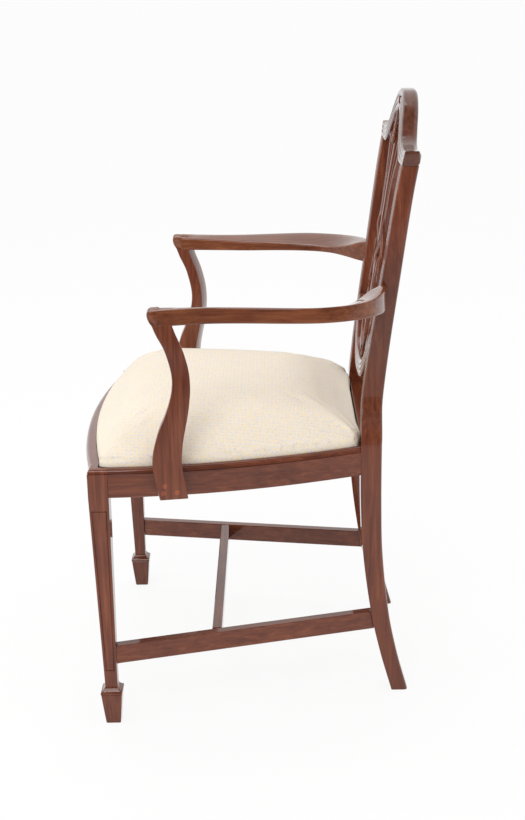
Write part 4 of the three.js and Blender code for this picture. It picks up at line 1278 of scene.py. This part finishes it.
@dataclass(frozen=True)
class Arms:
    """Dished arms and the swept supports that carry them."""

    top: float = 682.4
    underside: float = 658.0
    tip: float = -146.5
    tip_outer: float = 308.0
    end_in_post: float = 213.0
    nose: float = 17.0
    nose_slant: float = 8.2
    nose_slant_end: float = 50.0
    nose_square: float = 9.0
    nose_core: float = 0.02
    nose_stations: int = 24
    nose_turn: Pair = (35.0, 90.0)
    stations: int = 96
    station_crowding: float = 1.1
    start_steps: int = 400
    section_points: int = 84
    section_bend: float = 0.5
    reed_depth: float = 3.0
    reed_end: float = 0.13
    reed_fade: float = 1.8
    reed_top: float = 0.9
    reed_band: Pair = (0.18, 0.86)
    reed_margin: float = 0.06
    reed_span: float = 0.92
    reed_sharpness: int = 4
    support_outer: float = 299.0
    support_inner: float = 269.0
    support_bottom: float = 389.0
    support_reference: float = -120.0
    support_reach: float = 34.0
    support_turn: float = 0.15
    back_turn: float = 0.3
    support_flare: float = 4.5
    flare_start: float = 0.68
    support_stations: int = 64
    support_arris: float = 0.5
    let_in: float = 3.0
    crease: float = 60.0
    support_moulding: Moulding = Moulding(reeds=3, relief=1.5, reed_points=5, corner=2.2, corner_points=3)
    plan_rows: Rows = (
        (0, 0.985, 0, 0.76), (0.016, 1, 0.016, 0.74), (0.1, 0.945, 0.1, 0.715), (0.24, 0.878, 0.24, 0.664),
        (0.38, 0.888, 0.38, 0.61), (0.52, 0.928, 0.52, 0.592), (0.655, 0.952, 0.645, 0.58),
        (0.745, 0.912, 0.735, 0.52), (0.838, 0.808, 0.81, 0.39), (0.916, 0.632, 0.872, 0.21),
        (0.966, 0.37, 0.92, 0.07), (0.99, 0.09, 0.965, -0.03), (1, -0.14, 0.985, -0.14),
    )
    height_rows: Rows = (
        (1, 0, 0.98, 0), (1.01, 0, 0.94, 0), (1.02, 0, 0.9, 0), (1.02, 0, 0.8, 0), (1, 0, 0.68, 0),
        (1, 0, 0.56, 0), (1, 0, 0.43, -0.04), (1, -0.02, 0.36, -0.06), (1, -0.04, 0.4, -0.08),
        (1.03, -0.08, 0.66, -0.16), (1.12, -0.2, 1, -0.26), (1.2, -0.3, 1.18, -0.34),
        (1.22, -0.32, 1.22, -0.36),
    )
    section_rows: Rows = (
        (1, 0.12), (1, 0.88), (0.965, 0.985), (0.74, 1.03), (0.42, 1.02), (0.06, 0.98),
        (0, 0.86), (0, 0.14), (0.05, 0.02), (0.5, 0), (0.95, 0.02),
    )
    support_rows: Rows = (
        (0, -0.55, 0.73), (0.09, -0.69, 0.64), (0.16, -0.78, 0.53), (0.21, -0.81, 0.505),
        (0.265, -0.78, 0.53), (0.33, -0.66, 0.59), (0.4, -0.48, 0.7), (0.47, -0.23, 0.82),
        (0.54, -0.03, 0.91), (0.61, 0.12, 0.97), (0.68, 0.175, 0.975), (0.745, 0.12, 0.925),
        (0.81, 0, 0.81), (0.87, -0.15, 0.67), (0.94, -0.42, 0.45), (1, -0.6, 0.29),
    )

    def section(self) -> list[Pair]:
        """Rounded section of the arm.

        Returns:
            Its points, as (across, rise) shares.
        """
        last = len(self.section_rows)
        closed = [*self.section_rows, self.section_rows[0]]
        lengths = [0.0]
        for before, after in zip(closed, closed[1:]):
            lengths.append(lengths[-1] + math.dist(before, after))
        made = []
        for step in range(self.section_points):
            at = lengths[-1] * step / self.section_points
            index = next(i for i in range(last) if lengths[i + 1] > at)
            share = (at - lengths[index]) / (lengths[index + 1] - lengths[index])
            four = [Vector(self.section_rows[(index + k) % last]) for k in (-1, 0, 1, 2)]
            leave, arrive = ((four[k + 2] - four[k]) * self.section_bend / 2 for k in (0, 1))
            point = hermite(share, four[1], leave, four[2], arrive)
            made.append((point.x, point.y))
        return made

    def tables(self, rows: Rows) -> list[Rows]:
        """Columns of a table.

        Args:
            rows: the table, its rows evenly spread.

        Returns:
            Each column against the share of its rows.
        """
        return [list(zip(shares(len(rows) - 1), column)) for column in zip(*rows)]

    def groove(self, across: float, rise: float) -> float:
        """Depth of the two grooves that part the three reeds at the tip.

        Args:
            across: share of the way across the arm.
            rise: share of its height.

        Returns:
            The depth there.
        """
        if rise < self.reed_top or not self.reed_band[0] < across < self.reed_band[1]:
            return 0.0
        turn = 3 * math.pi * (across - self.reed_margin) / self.reed_span
        return self.reed_depth * abs(math.cos(turn)) ** self.reed_sharpness

    def nose_ring(self, turn: float, spread: Pair, section: list[Pair]) -> Ring:
        """Ring of the rolled tip, turned about the arm's underside.

        Args:
            turn: angle of the ring, from lying flat to standing up.
            spread: inner and outer edge of the arm there.
            section: the arm's section.

        Returns:
            The points of the ring.
        """
        forward = self.nose - self.nose_slant * (1 - eased(turn / math.radians(self.nose_slant_end)))
        ahead, up = math.cos(turn) / forward, math.sin(turn) / (self.top - self.underside)
        reach = (ahead**self.nose_square + up**self.nose_square) ** (-1 / self.nose_square)
        ring = []
        for across, rise in section:
            away = reach * blend(self.nose_core, 1.0, rise) - self.groove(across, rise)
            ring.append(Vector((
                blend(*spread, across),
                self.tip + self.nose - away * math.cos(turn),
                self.underside + away * math.sin(turn),
            )))
        return ring

    def arm(self) -> Body:
        """Body of the left arm.

        Returns:
            The body.
        """
        root = PLAN.post_outer(self.underside)
        plan, height = self.tables(self.plan_rows), self.tables(self.height_rows)
        section = self.section()
        nose_share = self.nose / (self.end_in_post - self.tip)
        start = next(at for at in shares(self.start_steps) if smooth(plan[0], at) > nose_share)

        def edges(at: float) -> Pair:
            """Inner and outer edge of the arm across the chair."""
            return tuple(blend(root, self.tip_outer, smooth(plan[index], at)) for index in (3, 1))

        rings = []
        flat, upright = self.nose_turn
        for share in shares(self.nose_stations)[:-1]:
            turn = QUARTER * share
            at = start * eased((math.degrees(turn) - flat) / (upright - flat))
            rings.append(self.nose_ring(turn, edges(at), section))
        for share in shares(self.stations):
            at = blend(start, 1.0, share**self.station_crowding)
            outer_y, inner_y = smooth(plan[0], at), smooth(plan[2], at)
            outer_top, outer_low, inner_top, inner_low = (
                blend(self.underside, self.top, smooth(table, at)) for table in height
            )
            fade = eased((self.reed_end - outer_y) / self.reed_end * self.reed_fade)
            spread = edges(at)
            ring = []
            for across, rise in section:
                low, high = blend(inner_low, outer_low, across), blend(inner_top, outer_top, across)
                ring.append(Vector((
                    blend(*spread, across),
                    blend(self.tip, self.end_in_post, blend(inner_y, outer_y, across)),
                    blend(low, high, rise) - self.groove(across, rise) * fade,
                )))
            rings.append(ring)
        return lofted(rings)

    def support(self) -> Body:
        """Body of the left support, reeded down its front edge.

        Returns:
            The body.
        """
        front_rows, back_rows = ([(row[0], row[index]) for row in self.support_rows] for index in (1, 2))
        width = self.support_outer - self.support_inner
        middle = (self.support_inner + self.support_outer) / 2
        rings = []
        for share in shares(self.support_stations):
            front, back = (
                self.support_reference + self.support_reach * smooth(rows, share)
                for rows in (front_rows, back_rows)
            )
            z = blend(self.support_bottom, self.underside + self.let_in, share)
            section = self.support_moulding.section(width, back - front)
            flared = middle + self.support_flare * eased((share - self.flare_start) / (1 - self.flare_start))
            rings.append([
                Vector((
                    flared + across - self.support_turn * (front + behind - self.support_reference),
                    front + behind + self.back_turn * (across - width / 2) * behind / (back - front),
                    z,
                ))
                for across, behind in section
            ])
        return lofted(rings)

    def build(self, bench: Bench) -> None:
        """Builds both arms and both supports.

        Args:
            bench: the bench that places them.
        """
        bench.pair(self.arm(), "dished_arm", ARMS, "arm", crease=self.crease)
        bench.pair(self.support(), "swept_support", UPRIGHT, "arm_support", bevel=self.support_arris)


@dataclass(frozen=True)
class SeatRails:
    """Bowed rails with a moulded top edge and the ledge for the loose seat."""

    thickness: float = 26.0
    face_height: float = 37.4
    arris: float = 0.8
    groove_depth: float = 2.0
    groove_low: float = 0.4
    groove_high: float = 1.4
    bead_height: float = 2.0
    bead_set_back: float = 0.5
    round_set_back: float = 0.6
    round_height: float = 6.4
    round_steps: int = 7
    run: float = 6.6
    stations: int = 48
    joint_gap: float = 0.05
    softness: float = 0.3

    def profile(self, lip: float) -> list[Pair]:
        """Section of a rail.

        Args:
            lip: width of the rim outside the ledge.

        Returns:
            Its points, as (inward from its face, height).
        """
        low, top = PLAN.rail_bottom, PLAN.rail_bottom + self.face_height
        ovolo = [
            (
                self.round_set_back + self.run * (1 - math.cos(turn)),
                top + self.bead_height + self.round_height * math.sin(turn),
            )
            for turn in [QUARTER * share for share in shares(self.round_steps)[1:]]
        ]
        return [
            (self.thickness, low), (self.arris, low), (0.0, low + self.arris),
            (0.0, top),
            (self.groove_depth, top + self.groove_low),
            (self.groove_depth, top + self.groove_high),
            (self.bead_set_back, top + self.bead_height),
            *ovolo,
            (lip, PLAN.rail_top), (lip, PLAN.ledge), (self.thickness, PLAN.ledge),
        ]

    def side(self) -> Body:
        """Body of the left side rail.

        Returns:
            The body.
        """
        profile = self.profile(PLAN.lip_side)
        rings = []
        for share in shares(self.stations):
            y = blend(PLAN.leg_back + self.joint_gap, PLAN.post_front - self.joint_gap, share)
            rings.append([Vector((PLAN.side_face(y) - inward, y, z)) for inward, z in profile])
        return lofted(rings)

    def front(self) -> Body:
        """Body of the front rail.

        Returns:
            The body.
        """
        profile = self.profile(PLAN.lip_front)
        reach = PLAN.leg_inner - self.joint_gap
        rings = []
        for share in shares(self.stations):
            x = blend(-reach, reach, share)
            rings.append([Vector((x, PLAN.front_face(x) + inward, z)) for inward, z in profile])
        return lofted(rings)

    def build(self, bench: Bench) -> None:
        """Builds the front rail and both side rails.

        Args:
            bench: the bench that places them.
        """
        bench.pair(self.side(), "moulded_side_rail", ALONG, "side_seat_rail", bevel=self.softness)
        bench.place(self.front(), "moulded_front_rail", ACROSS, ["front_seat_rail"], bevel=self.softness)


@dataclass(frozen=True)
class FrontLegs:
    """Square tapered legs with lined panels and spade feet."""

    foot_side: float = 19.6
    ankle: float = 62.7
    ankle_swell: float = 1.2
    ankle_run: float = 2.5
    spade_widest: float = 34.2
    spade_bottom: float = 23.1
    spade_height: float = 55.2
    floor_arris: Pair = (0.9, 1.4)
    splay: float = 1.3
    set_back: float = 4.3
    panel_low: float = 89.0
    panel_high: float = 367.0
    line_inset: float = 2.4
    line_width: float = 1.9
    line_depth: float = 1.5
    line_wall: float = 0.3
    facing: float = 0.9
    same_level: float = 1.0
    arris: float = 0.9
    softness: float = 0.35
    crease: float = 25.0
    rail_profile: SeatRails = SeatRails()
    spade_rows: Rows = ((0.25, 0.25), (0.5, 0.49), (0.75, 0.72))
    collar_rows: Rows = (
        (-4.2, 1.4), (-3.4, 2.4), (-2.8, 0), (0, 0), (1.2, 1.4), (2.0, 4.4), (2.7, 5.4), (4.4, 9.4),
    )

    def side(self, z: float) -> float:
        """Side of the shaft at a height."""
        share = (z - self.ankle) / (PLAN.rail_bottom - self.ankle)
        return blend(self.foot_side, PLAN.leg_side, min(1.0, share))

    def ring(self, z: float, side: float) -> Ring:
        """Square section of the leg, arrises taken off.

        Args:
            z: height above the floor.
            side: side of the square.

        Returns:
            The points of the section.
        """
        share = max(0.0, 1 - z / PLAN.rail_bottom)
        x = PLAN.leg_outer - PLAN.leg_side / 2 + self.splay * share
        y = PLAN.leg_front + PLAN.leg_side / 2 + self.set_back * share
        half, cut = side / 2, side / 2 - self.arris
        turns = ((1, 0), (0, 1), (-1, 0), (0, -1))
        corners = [
            (across * c - along * s, across * s + along * c)
            for c, s in turns for across, along in ((-cut, -half), (cut, -half))
        ]
        return [Vector((x + dx, y + dy, z)) for dx, dy in corners]

    def shaft(self) -> Body:
        """Leg from the floor to the ledge of the rails.

        Returns:
            The body.
        """
        rise, inset = self.floor_arris
        stations = [(0.0, self.spade_bottom - inset), (rise, self.spade_bottom)]
        for share, spread in self.spade_rows:
            stations.append((self.spade_height * share, blend(self.spade_bottom, self.spade_widest, spread)))
        for above, less in self.collar_rows:
            stations.append((self.spade_height + above, self.spade_widest - less))
        stations.append((self.ankle, self.foot_side + self.ankle_swell))
        levels = (self.ankle + self.ankle_run, self.panel_low, self.panel_high, PLAN.rail_bottom, PLAN.ledge)
        stations += [(z, self.side(z)) for z in levels]
        body = lofted([self.ring(z, side) for z, side in stations])
        self.line(body)
        return body

    def line(self, body: Body) -> None:
        """Cuts the incised line round the panel on the two show faces.

        Args:
            body: body of the leg.
        """
        middle = (self.panel_low + self.panel_high) / 2
        smallest = self.foot_side * (self.panel_high - self.panel_low) / 2
        panels = [
            face
            for face in body.faces
            if abs(face.calc_center_median().z - middle) < self.same_level
            and face.calc_area() > smallest
            and max(face.normal.x, -face.normal.y) > self.facing
        ]
        wall, floor = self.line_width * self.line_wall, self.line_width * (1 - 2 * self.line_wall)
        cuts = ((self.line_inset, 0.0), (wall, -self.line_depth), (floor, 0.0), (wall, self.line_depth))
        for thickness, depth in cuts:
            bmesh.ops.inset_individual(
                body, faces=panels, thickness=thickness, depth=depth, use_even_offset=True
            )

    def corner(self) -> Body:
        """Rim of the leg above the ledge, moulded with the rails.

        Returns:
            The body.
        """
        x0, x1 = PLAN.leg_inner, PLAN.leg_outer
        y0, y1 = PLAN.leg_front, PLAN.leg_back
        rings = []
        for inward, z in self.rail_profile.profile(PLAN.lip_side)[2:-2]:
            places = (
                (x0, y0 + inward), (x1 - inward, y0 + inward), (x1 - inward, y1), (x1 - PLAN.lip_side, y1),
                (x1 - PLAN.lip_side, y0 + PLAN.lip_front), (x0, y0 + PLAN.lip_front),
            )
            rings.append([Vector((x, y, max(z, PLAN.ledge))) for x, y in places])
        return lofted(rings)

    def build(self, bench: Bench) -> None:
        """Builds both front legs.

        Args:
            bench: the bench that places them.
        """
        body = merged([self.shaft(), self.corner()])
        bench.pair(body, "spade_leg", UPRIGHT, "front_leg", bevel=self.softness, crease=self.crease)


@dataclass(frozen=True)
class Pellets:
    """Wooden plugs over the screws of the arm supports."""

    radius: float = 4.0
    thickness: float = 3.4
    proud: float = 0.25
    segments: int = 32
    arris: float = 0.4
    places: Rows = ((-10.5, 411), (-12.5, 399.5), (8, 400))
    arms: Arms = Arms()

    def build(self, bench: Bench) -> None:
        """Builds the plugs of both supports.

        Args:
            bench: the bench that places them.
        """
        lean = self.arms.support_turn
        turn = Matrix.Rotation(math.atan(lean), 4, "Z") @ Matrix.Rotation(QUARTER, 4, "Y")
        size = {"radius1": self.radius, "radius2": self.radius, "depth": self.thickness}
        for index, (y, z) in enumerate(self.places, start=1):
            plug = bmesh.new()
            bmesh.ops.create_cone(plug, cap_ends=True, segments=self.segments, **size)
            x = self.arms.support_outer - lean * y + self.proud - self.thickness / 2
            place = Matrix.Translation((x, self.arms.support_reference + y, z))
            bmesh.ops.transform(plug, matrix=place @ turn, verts=plug.verts)
            facts = {"slot": "pellet_mahogany", "bevel": self.arris}
            bench.pair(plug, f"pellet_{index}", PELLET, f"arm_support_pellet_{index}", **facts)


@dataclass(frozen=True)
class StuffedSeat:
    """Cover of the loose seat, swelled over its stuffing."""

    clearance: float = 1.0
    frame_high: float = 439.8
    hem_low: float = 418.3
    hem_held: float = 4.0
    corner_radius: float = 9.0
    corner_growth: float = 0.25
    front_points: int = 14
    corner_points: int = 6
    side_points: int = 18
    rear_corner_points: int = 5
    back_points: int = 8
    crown_height: float = 60.0
    crown_run: float = 120.0
    top_run: float = 175.0
    top_swell: float = 0.03
    top_shares: Pair = (0.35, 0.7)
    crease: float = 75.0
    voxel: float = 6.0
    pressure: float = 4.0
    cloth_quality: int = 2
    cap: float = 4.0
    finer: int = 1
    over_stuffing: float = 1.5
    last_frame: int = 20
    fold: float = 3.6
    fold_spread: float = 0.17
    fold_turns: Sequence[float] = (0.42, 0.98, 1.5)
    fold_reach: Pair = (20.0, 95.0)
    fill: float = 0.75
    crown_rows: Rows = (
        (0.0, 0.06), (0.012, 0.112), (0.035, 0.185), (0.068, 0.262), (0.155, 0.42), (0.273, 0.576),
        (0.414, 0.717), (0.571, 0.835), (0.731, 0.925), (0.885, 0.981), (1, 1),
    )

    def outline(self, inset: float, z: float) -> Ring:
        """Level outline of the seat.

        Args:
            inset: how far it lies inside the walls of its recess.
            z: its height.

        Returns:
            The points of the outline.
        """
        radius = self.corner_radius + max(inset, 0.0) * self.corner_growth
        back = PLAN.post_front - self.clearance - max(inset, 0.0)
        small = radius / 2

        def front(x: float) -> float:
            """Front edge at a place across the chair."""
            return PLAN.front_face(x) + PLAN.lip_front + inset

        def side(y: float) -> float:
            """Side edge at a place from front to back."""
            return PLAN.side_face(y) - PLAN.lip_side - inset

        corner_x = side(PLAN.leg_front + PLAN.lip_front + inset) - radius
        corner_y = front(corner_x) + radius
        wide = side(back)
        right = [(corner_x * share, front(corner_x * share)) for share in middles(self.front_points)]
        for turn in [QUARTER * share for share in middles(self.corner_points)]:
            right.append((corner_x + radius * math.sin(turn), corner_y - radius * math.cos(turn)))
        for share in middles(self.side_points):
            y = blend(corner_y, back - small, share)
            right.append((min(side(y), corner_x + radius), y))
        for turn in [QUARTER * share for share in middles(self.rear_corner_points)]:
            right.append((wide - small * (1 - math.cos(turn)), back - small * (1 - math.sin(turn))))
        right += [((wide - small) * (1 - share), back) for share in middles(self.back_points)]
        return [Vector((x, y, z)) for x, y in right + [(-x, y) for x, y in reversed(right)]]

    def stuffed(self) -> Body:
        """Closed shape of the covered seat.

        Returns:
            The body.
        """
        levels = [(0.0, self.hem_low), (0.0, self.frame_high)]
        for run, rise in self.crown_rows:
            levels.append((run * self.crown_run, self.frame_high + rise * self.crown_height))
        for share in self.top_shares:
            top = self.crown_height * (1 + self.top_swell * share)
            levels.append((blend(self.crown_run, self.top_run, share), self.frame_high + top))
        body = lofted([self.outline(self.clearance + run, z) for run, z in levels])
        bmesh.ops.triangulate(body, faces=[face for face in body.faces if len(face.verts) > 4])
        return body

    def build(self, bench: Bench) -> None:
        """Builds the cover, swells it, and lays its weave.

        Args:
            bench: the bench that places it.
        """
        cover = bench.place(
            self.stuffed(), "stuffed_cover", COVER, ["seat_cover"],
            rides=SEAT_BODY, slot="cover_cloth", crease=self.crease,
        )
        self.swell(cover)
        self.gather(cover, bench.shift.y)
        self.clear_stuffing(cover)
        self.lay_cloth(cover)

    def swell(self, cover: Object) -> None:
        """Blows the cover out a little as cloth and keeps its lower edge in place.

        Args:
            cover: the cover.
        """
        scene = bpy.context.scene
        bpy.ops.object.select_all(action="DESELECT")
        cover.select_set(True)
        bpy.context.view_layer.objects.active = cover
        remesh = cover.modifiers.new("even cloth", "REMESH")
        remesh.mode = "VOXEL"
        remesh.voxel_size = self.voxel * MILLIMETRE
        bpy.ops.object.modifier_apply(modifier=remesh.name)
        start = [vert.co.copy() for vert in cover.data.vertices]
        held = cover.vertex_groups.new(name="held")
        edge = (self.frame_high - self.hem_held) * MILLIMETRE
        held.add([vert.index for vert in cover.data.vertices if vert.co.z < edge], 1.0, "REPLACE")
        cloth = cover.modifiers.new("cloth", "CLOTH")
        cloth.settings.use_pressure = True
        cloth.settings.uniform_pressure_force = self.pressure
        cloth.settings.vertex_group_mass = held.name
        cloth.settings.effector_weights.gravity = 0.0
        cloth.settings.quality = self.cloth_quality
        for number in range(1, self.last_frame + 1):
            scene.frame_set(number)
        shape = cover.evaluated_get(bpy.context.evaluated_depsgraph_get())
        ends = [vert.co.copy() for vert in shape.data.vertices]
        cover.modifiers.remove(cloth)
        cap = self.cap * MILLIMETRE
        for vert, before, after in zip(cover.data.vertices, start, ends):
            move = after - before
            if move.length > cap:
                move *= cap / move.length
            outward = move.dot(vert.normal)
            if outward < 0:
                move -= vert.normal * outward
            vert.co = before + move
        scene.frame_set(1)
        softer = cover.modifiers.new("finer cloth", "SUBSURF")
        softer.levels = softer.render_levels = self.finer
        bpy.ops.object.modifier_apply(modifier=softer.name)
        cover.vertex_groups.clear()
        cover.data.shade_smooth()

    def gather(self, cover: Object, shift: float) -> None:
        """Lays soft folds that fan out from the rear corners, where the cloth is gathered.

        Args:
            cover: the cover.
            shift: how far back the chair stands from the plan, in millimetres.
        """
        scale = 1 / MILLIMETRE
        start, end = self.fold_reach
        back = PLAN.post_front - self.clearance
        corner = Vector((PLAN.side_face(back) - PLAN.lip_side, back))
        for vert in cover.data.vertices:
            if vert.co.z * scale < self.frame_high:
                continue
            away = corner - Vector((abs(vert.co.x) * scale, vert.co.y * scale - shift))
            turn = math.atan2(away.x, away.y)
            near = eased(away.length / start) * (1 - eased((away.length - start) / (end - start)))
            swells = (math.exp(-(((turn - at) / self.fold_spread) ** 2)) for at in self.fold_turns)
            vert.co += vert.normal * (self.fold * near * sum(swells)) * MILLIMETRE

    def clear_stuffing(self, cover: Object) -> None:
        """Keeps the cloth outside the stuffing below it.

        Args:
            cover: the cover.
        """
        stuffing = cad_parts["seat_stuffing"]
        tree = BVHTree.FromObject(stuffing, bpy.context.evaluated_depsgraph_get())
        apart = self.over_stuffing * MILLIMETRE
        inverse = stuffing.matrix_world.inverted()
        for vert in cover.data.vertices:
            if vert.co.z < self.frame_high * MILLIMETRE:
                continue
            place, normal, _, _ = tree.find_nearest(inverse @ vert.co)
            if (inverse @ vert.co - place).dot(normal) < apart:
                vert.co = stuffing.matrix_world @ (place + normal * apart)

    def lay_cloth(self, cover: Object) -> None:
        """Unrolls the cloth into a map for its weave, over the crown and down the sides.

        Args:
            cover: the cover.
        """
        mesh = cover.data
        layer = mesh.uv_layers.new(name=COVER.uv_name)
        top = (self.frame_high + self.crown_height) * MILLIMETRE
        for loop in mesh.loops:
            vert = mesh.vertices[loop.vertex_index]
            drop = max(0.0, top - vert.co.z)
            turned = abs(vert.normal.x) + abs(vert.normal.y) + Curve2D.shortest
            layer.data[loop.index].uv = [
                place + math.copysign(drop * abs(normal) / turned, place)
                for place, normal in zip(vert.co.xy, vert.normal.xy)
            ]


@dataclass(frozen=True)
class Lamp:
    """Soft square lamp that faces a point over the chair's middle, in metres and watts."""

    name: str
    place: Sequence[float]
    size: float
    power: float
    target: float

    def hang(self) -> None:
        """Hangs the lamp in the studio."""
        data = bpy.data.lights.new(self.name, "AREA")
        data.size = self.size
        data.energy = self.power
        lamp = bpy.data.objects.new(self.name, data)
        bpy.context.scene.collection.objects.link(lamp)
        ray = Vector((0, 0, self.target)) - Vector(self.place)
        lamp.matrix_world = Matrix.Translation(self.place) @ ray.to_track_quat("-Z", "Y").to_matrix().to_4x4()


@dataclass(frozen=True)
class Studio:
    """Camera, lamps, floor and surroundings of the picture, in metres."""

    camera_place: Sequence[float] = (2.3133, 0.04054, 1.16056)
    right: Sequence[float] = (-0.00507, 0.99982, -0.01832)
    up: Sequence[float] = (-0.29951, 0.01596, 0.95396)
    backward: Sequence[float] = (0.95408, 0.01032, 0.29937)
    focal_pixels: float = 1430.14
    long_side: float = 820.0
    sensor: float = 36.0
    sight: float = 200.0
    floor_size: float = 60.0
    floor_colour: Colour = (0.93, 0.93, 0.93)
    floor_roughness: float = 0.7
    floor_specular: float = 0.1
    floor_glow: float = 0.88
    paper_end: Pair = (1.3, 2.1)
    beyond_paper: float = 0.2
    daylight: float = 0.85
    room_edge: Pair = (0.3, 0.65)
    ceiling_edge: Pair = (0.93, 0.96)
    seen: Sequence[str] = ("Is Camera Ray", "Is Glossy Ray", "Is Transmission Ray")
    lamps: Sequence[Lamp] = (
        Lamp("far side", (-1.2, -0.3, 2.9), 1.4, 12.0, 0.4),
        Lamp("near side", (2.4, -0.7, 2.5), 1.2, 23.0, 0.5),
        Lamp("front", (1.2, -3.0, 1.8), 1.2, 14.0, 0.5),
    )

    def camera(self, shift: Vector) -> None:
        """Sets the camera where the photographer stood.

        Args:
            shift: how far the chair stands from the plan, in metres.
        """
        data = bpy.data.cameras.new("camera")
        data.sensor_width = self.sensor
        data.lens = self.focal_pixels * self.sensor / self.long_side
        data.clip_end = self.sight
        holder = bpy.data.objects.new("camera", data)
        bpy.context.scene.collection.objects.link(holder)
        axes = Matrix((self.right, self.up, self.backward)).transposed().to_4x4()
        holder.matrix_world = Matrix.Translation(Vector(self.camera_place) + shift) @ axes
        bpy.context.scene.camera = holder

    def rays(self, graph: Graph, *kinds: str) -> NodeSocket:
        """Tells some kinds of rays from the rest.

        Args:
            graph: the nodes.
            kinds: names of the kinds.

        Returns:
            The output that is 1 for a ray of one of these kinds, else 0.
        """
        path = graph.node("ShaderNodeLightPath")
        total = path.outputs[kinds[0]]
        for kind in kinds[1:]:
            total = graph.sum("MAXIMUM", total, path.outputs[kind])
        return total

    def surroundings(self) -> None:
        """World that is white to the eye and to the polish, and lights the chair plainly.

        Glossy rays alone also meet a darker room past the paper and a darker ceiling.
        """
        world = bpy.data.worlds.new("studio")
        bpy.context.scene.world = world
        graph = Graph(world)
        level = graph.spread(self.rays(graph, *self.seen), self.daylight, 1.0, 0.0, 1.0)
        place = graph.split(graph.node("ShaderNodeTexCoord").outputs["Generated"])
        dim = 1.0 - self.beyond_paper
        room = graph.spread(place["X"], 0.0, dim, *self.room_edge)
        ceiling = graph.spread(place["Z"], 0.0, dim, *self.ceiling_edge)
        dark = graph.sum("MAXIMUM", room, ceiling)
        shaded = graph.sum("MULTIPLY", self.rays(graph, "Is Glossy Ray"), dark)
        graph.give(Color=WHITE, Strength=graph.sum("SUBTRACT", level, shaded))

    def floor(self) -> None:
        """Plain white floor that holds the shadow; glossy rays alone meet its end."""
        body = bmesh.new()
        bmesh.ops.create_grid(body, x_segments=1, y_segments=1, size=self.floor_size)
        mesh = bpy.data.meshes.new("floor")
        body.to_mesh(mesh)
        body.free()
        floor = bpy.data.objects.new("floor", mesh)
        bpy.context.scene.collection.objects.link(floor)
        graph = Graph(bpy.data.materials.new("white floor"))
        graph.give(
            Base_Color=self.floor_colour,
            Roughness=self.floor_roughness,
            Specular_IOR_Level=self.floor_specular,
        )
        place = graph.split(graph.coordinates((1, 1, 1)))
        beyond = graph.spread(place["X"], 0.0, 1.0 - self.beyond_paper, *self.paper_end)
        shaded = graph.sum("MULTIPLY", self.rays(graph, "Is Glossy Ray"), beyond)
        glow = graph.node("ShaderNodeEmission", {"Color": (*WHITE, 1.0)})
        graph.feed(glow.inputs["Strength"], graph.sum("SUBTRACT", 1.0, shaded))
        mixed = graph.node("ShaderNodeMixShader")
        share = graph.sum("MULTIPLY", self.rays(graph, *self.seen), self.floor_glow)
        plain = graph.shader.outputs["BSDF"]
        for socket, value in zip(mixed.inputs, (share, plain, glow.outputs["Emission"])):
            graph.feed(socket, value)
        output = next(node for node in graph.tree.nodes if node.type == "OUTPUT_MATERIAL")
        graph.feed(output.inputs["Surface"], mixed.outputs["Shader"])
        mesh.materials.append(graph.owner)

    def build(self, bench: Bench) -> None:
        """Sets up the whole studio.

        Args:
            bench: the bench that knows where the chair stands.
        """
        self.camera(bench.shift * MILLIMETRE)
        self.surroundings()
        self.floor()
        for lamp in self.lamps:
            lamp.hang()
        bpy.context.scene.view_settings.view_transform = "Standard"
        log.info("studio: camera, lamps and floor")


@dataclass(frozen=True)
class HiddenPieces:
    """Carried-over pieces of the frame and the loose seat, with their finishes."""

    ends: Pair = ("front", "rear")
    seat_members: Sequence[str] = ("front", "back", "side_left", "side_right")

    def build(self, bench: Bench) -> None:
        """Gives the pieces their finishes.

        Args:
            bench: the bench that dresses them.
        """
        blocks = [f"{end}_corner_block_{side}" for end in self.ends for side in SIDES]
        finishes = (
            (ACROSS, ["rear_seat_rail", "cross_stretcher"]),
            (ALONG, [f"side_stretcher_{side}" for side in SIDES]),
            (BEECH, ["rear_seat_bearer", *blocks]),
            (PINE, [f"seat_frame_{member}" for member in self.seat_members]),
            (WEBBING, ["seat_webbing"]),
            (HESSIAN, ["seat_hessian", "seat_bottoming"]),
            (HAIR, ["seat_stuffing"]),
            (SCREW_STEEL, [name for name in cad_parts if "screw" in name]),
        )
        for finish, nodes in finishes:
            bench.dress(finish, *nodes)
            log.info("%s: %d carried-over pieces", finish.name, len(nodes))


def main() -> None:
    """Builds the chair and its studio, piece by piece."""
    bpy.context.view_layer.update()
    bench = Bench(PLAN)
    assemblies = (BackPosts(), Shield(), Arms(), SeatRails(), FrontLegs(), Pellets(), StuffedSeat())
    for assembly in (*assemblies, HiddenPieces(), Studio()):
        log.info("building %s", type(assembly).__name__)
        assembly.build(bench)


if __name__ == "__main__":
    main()
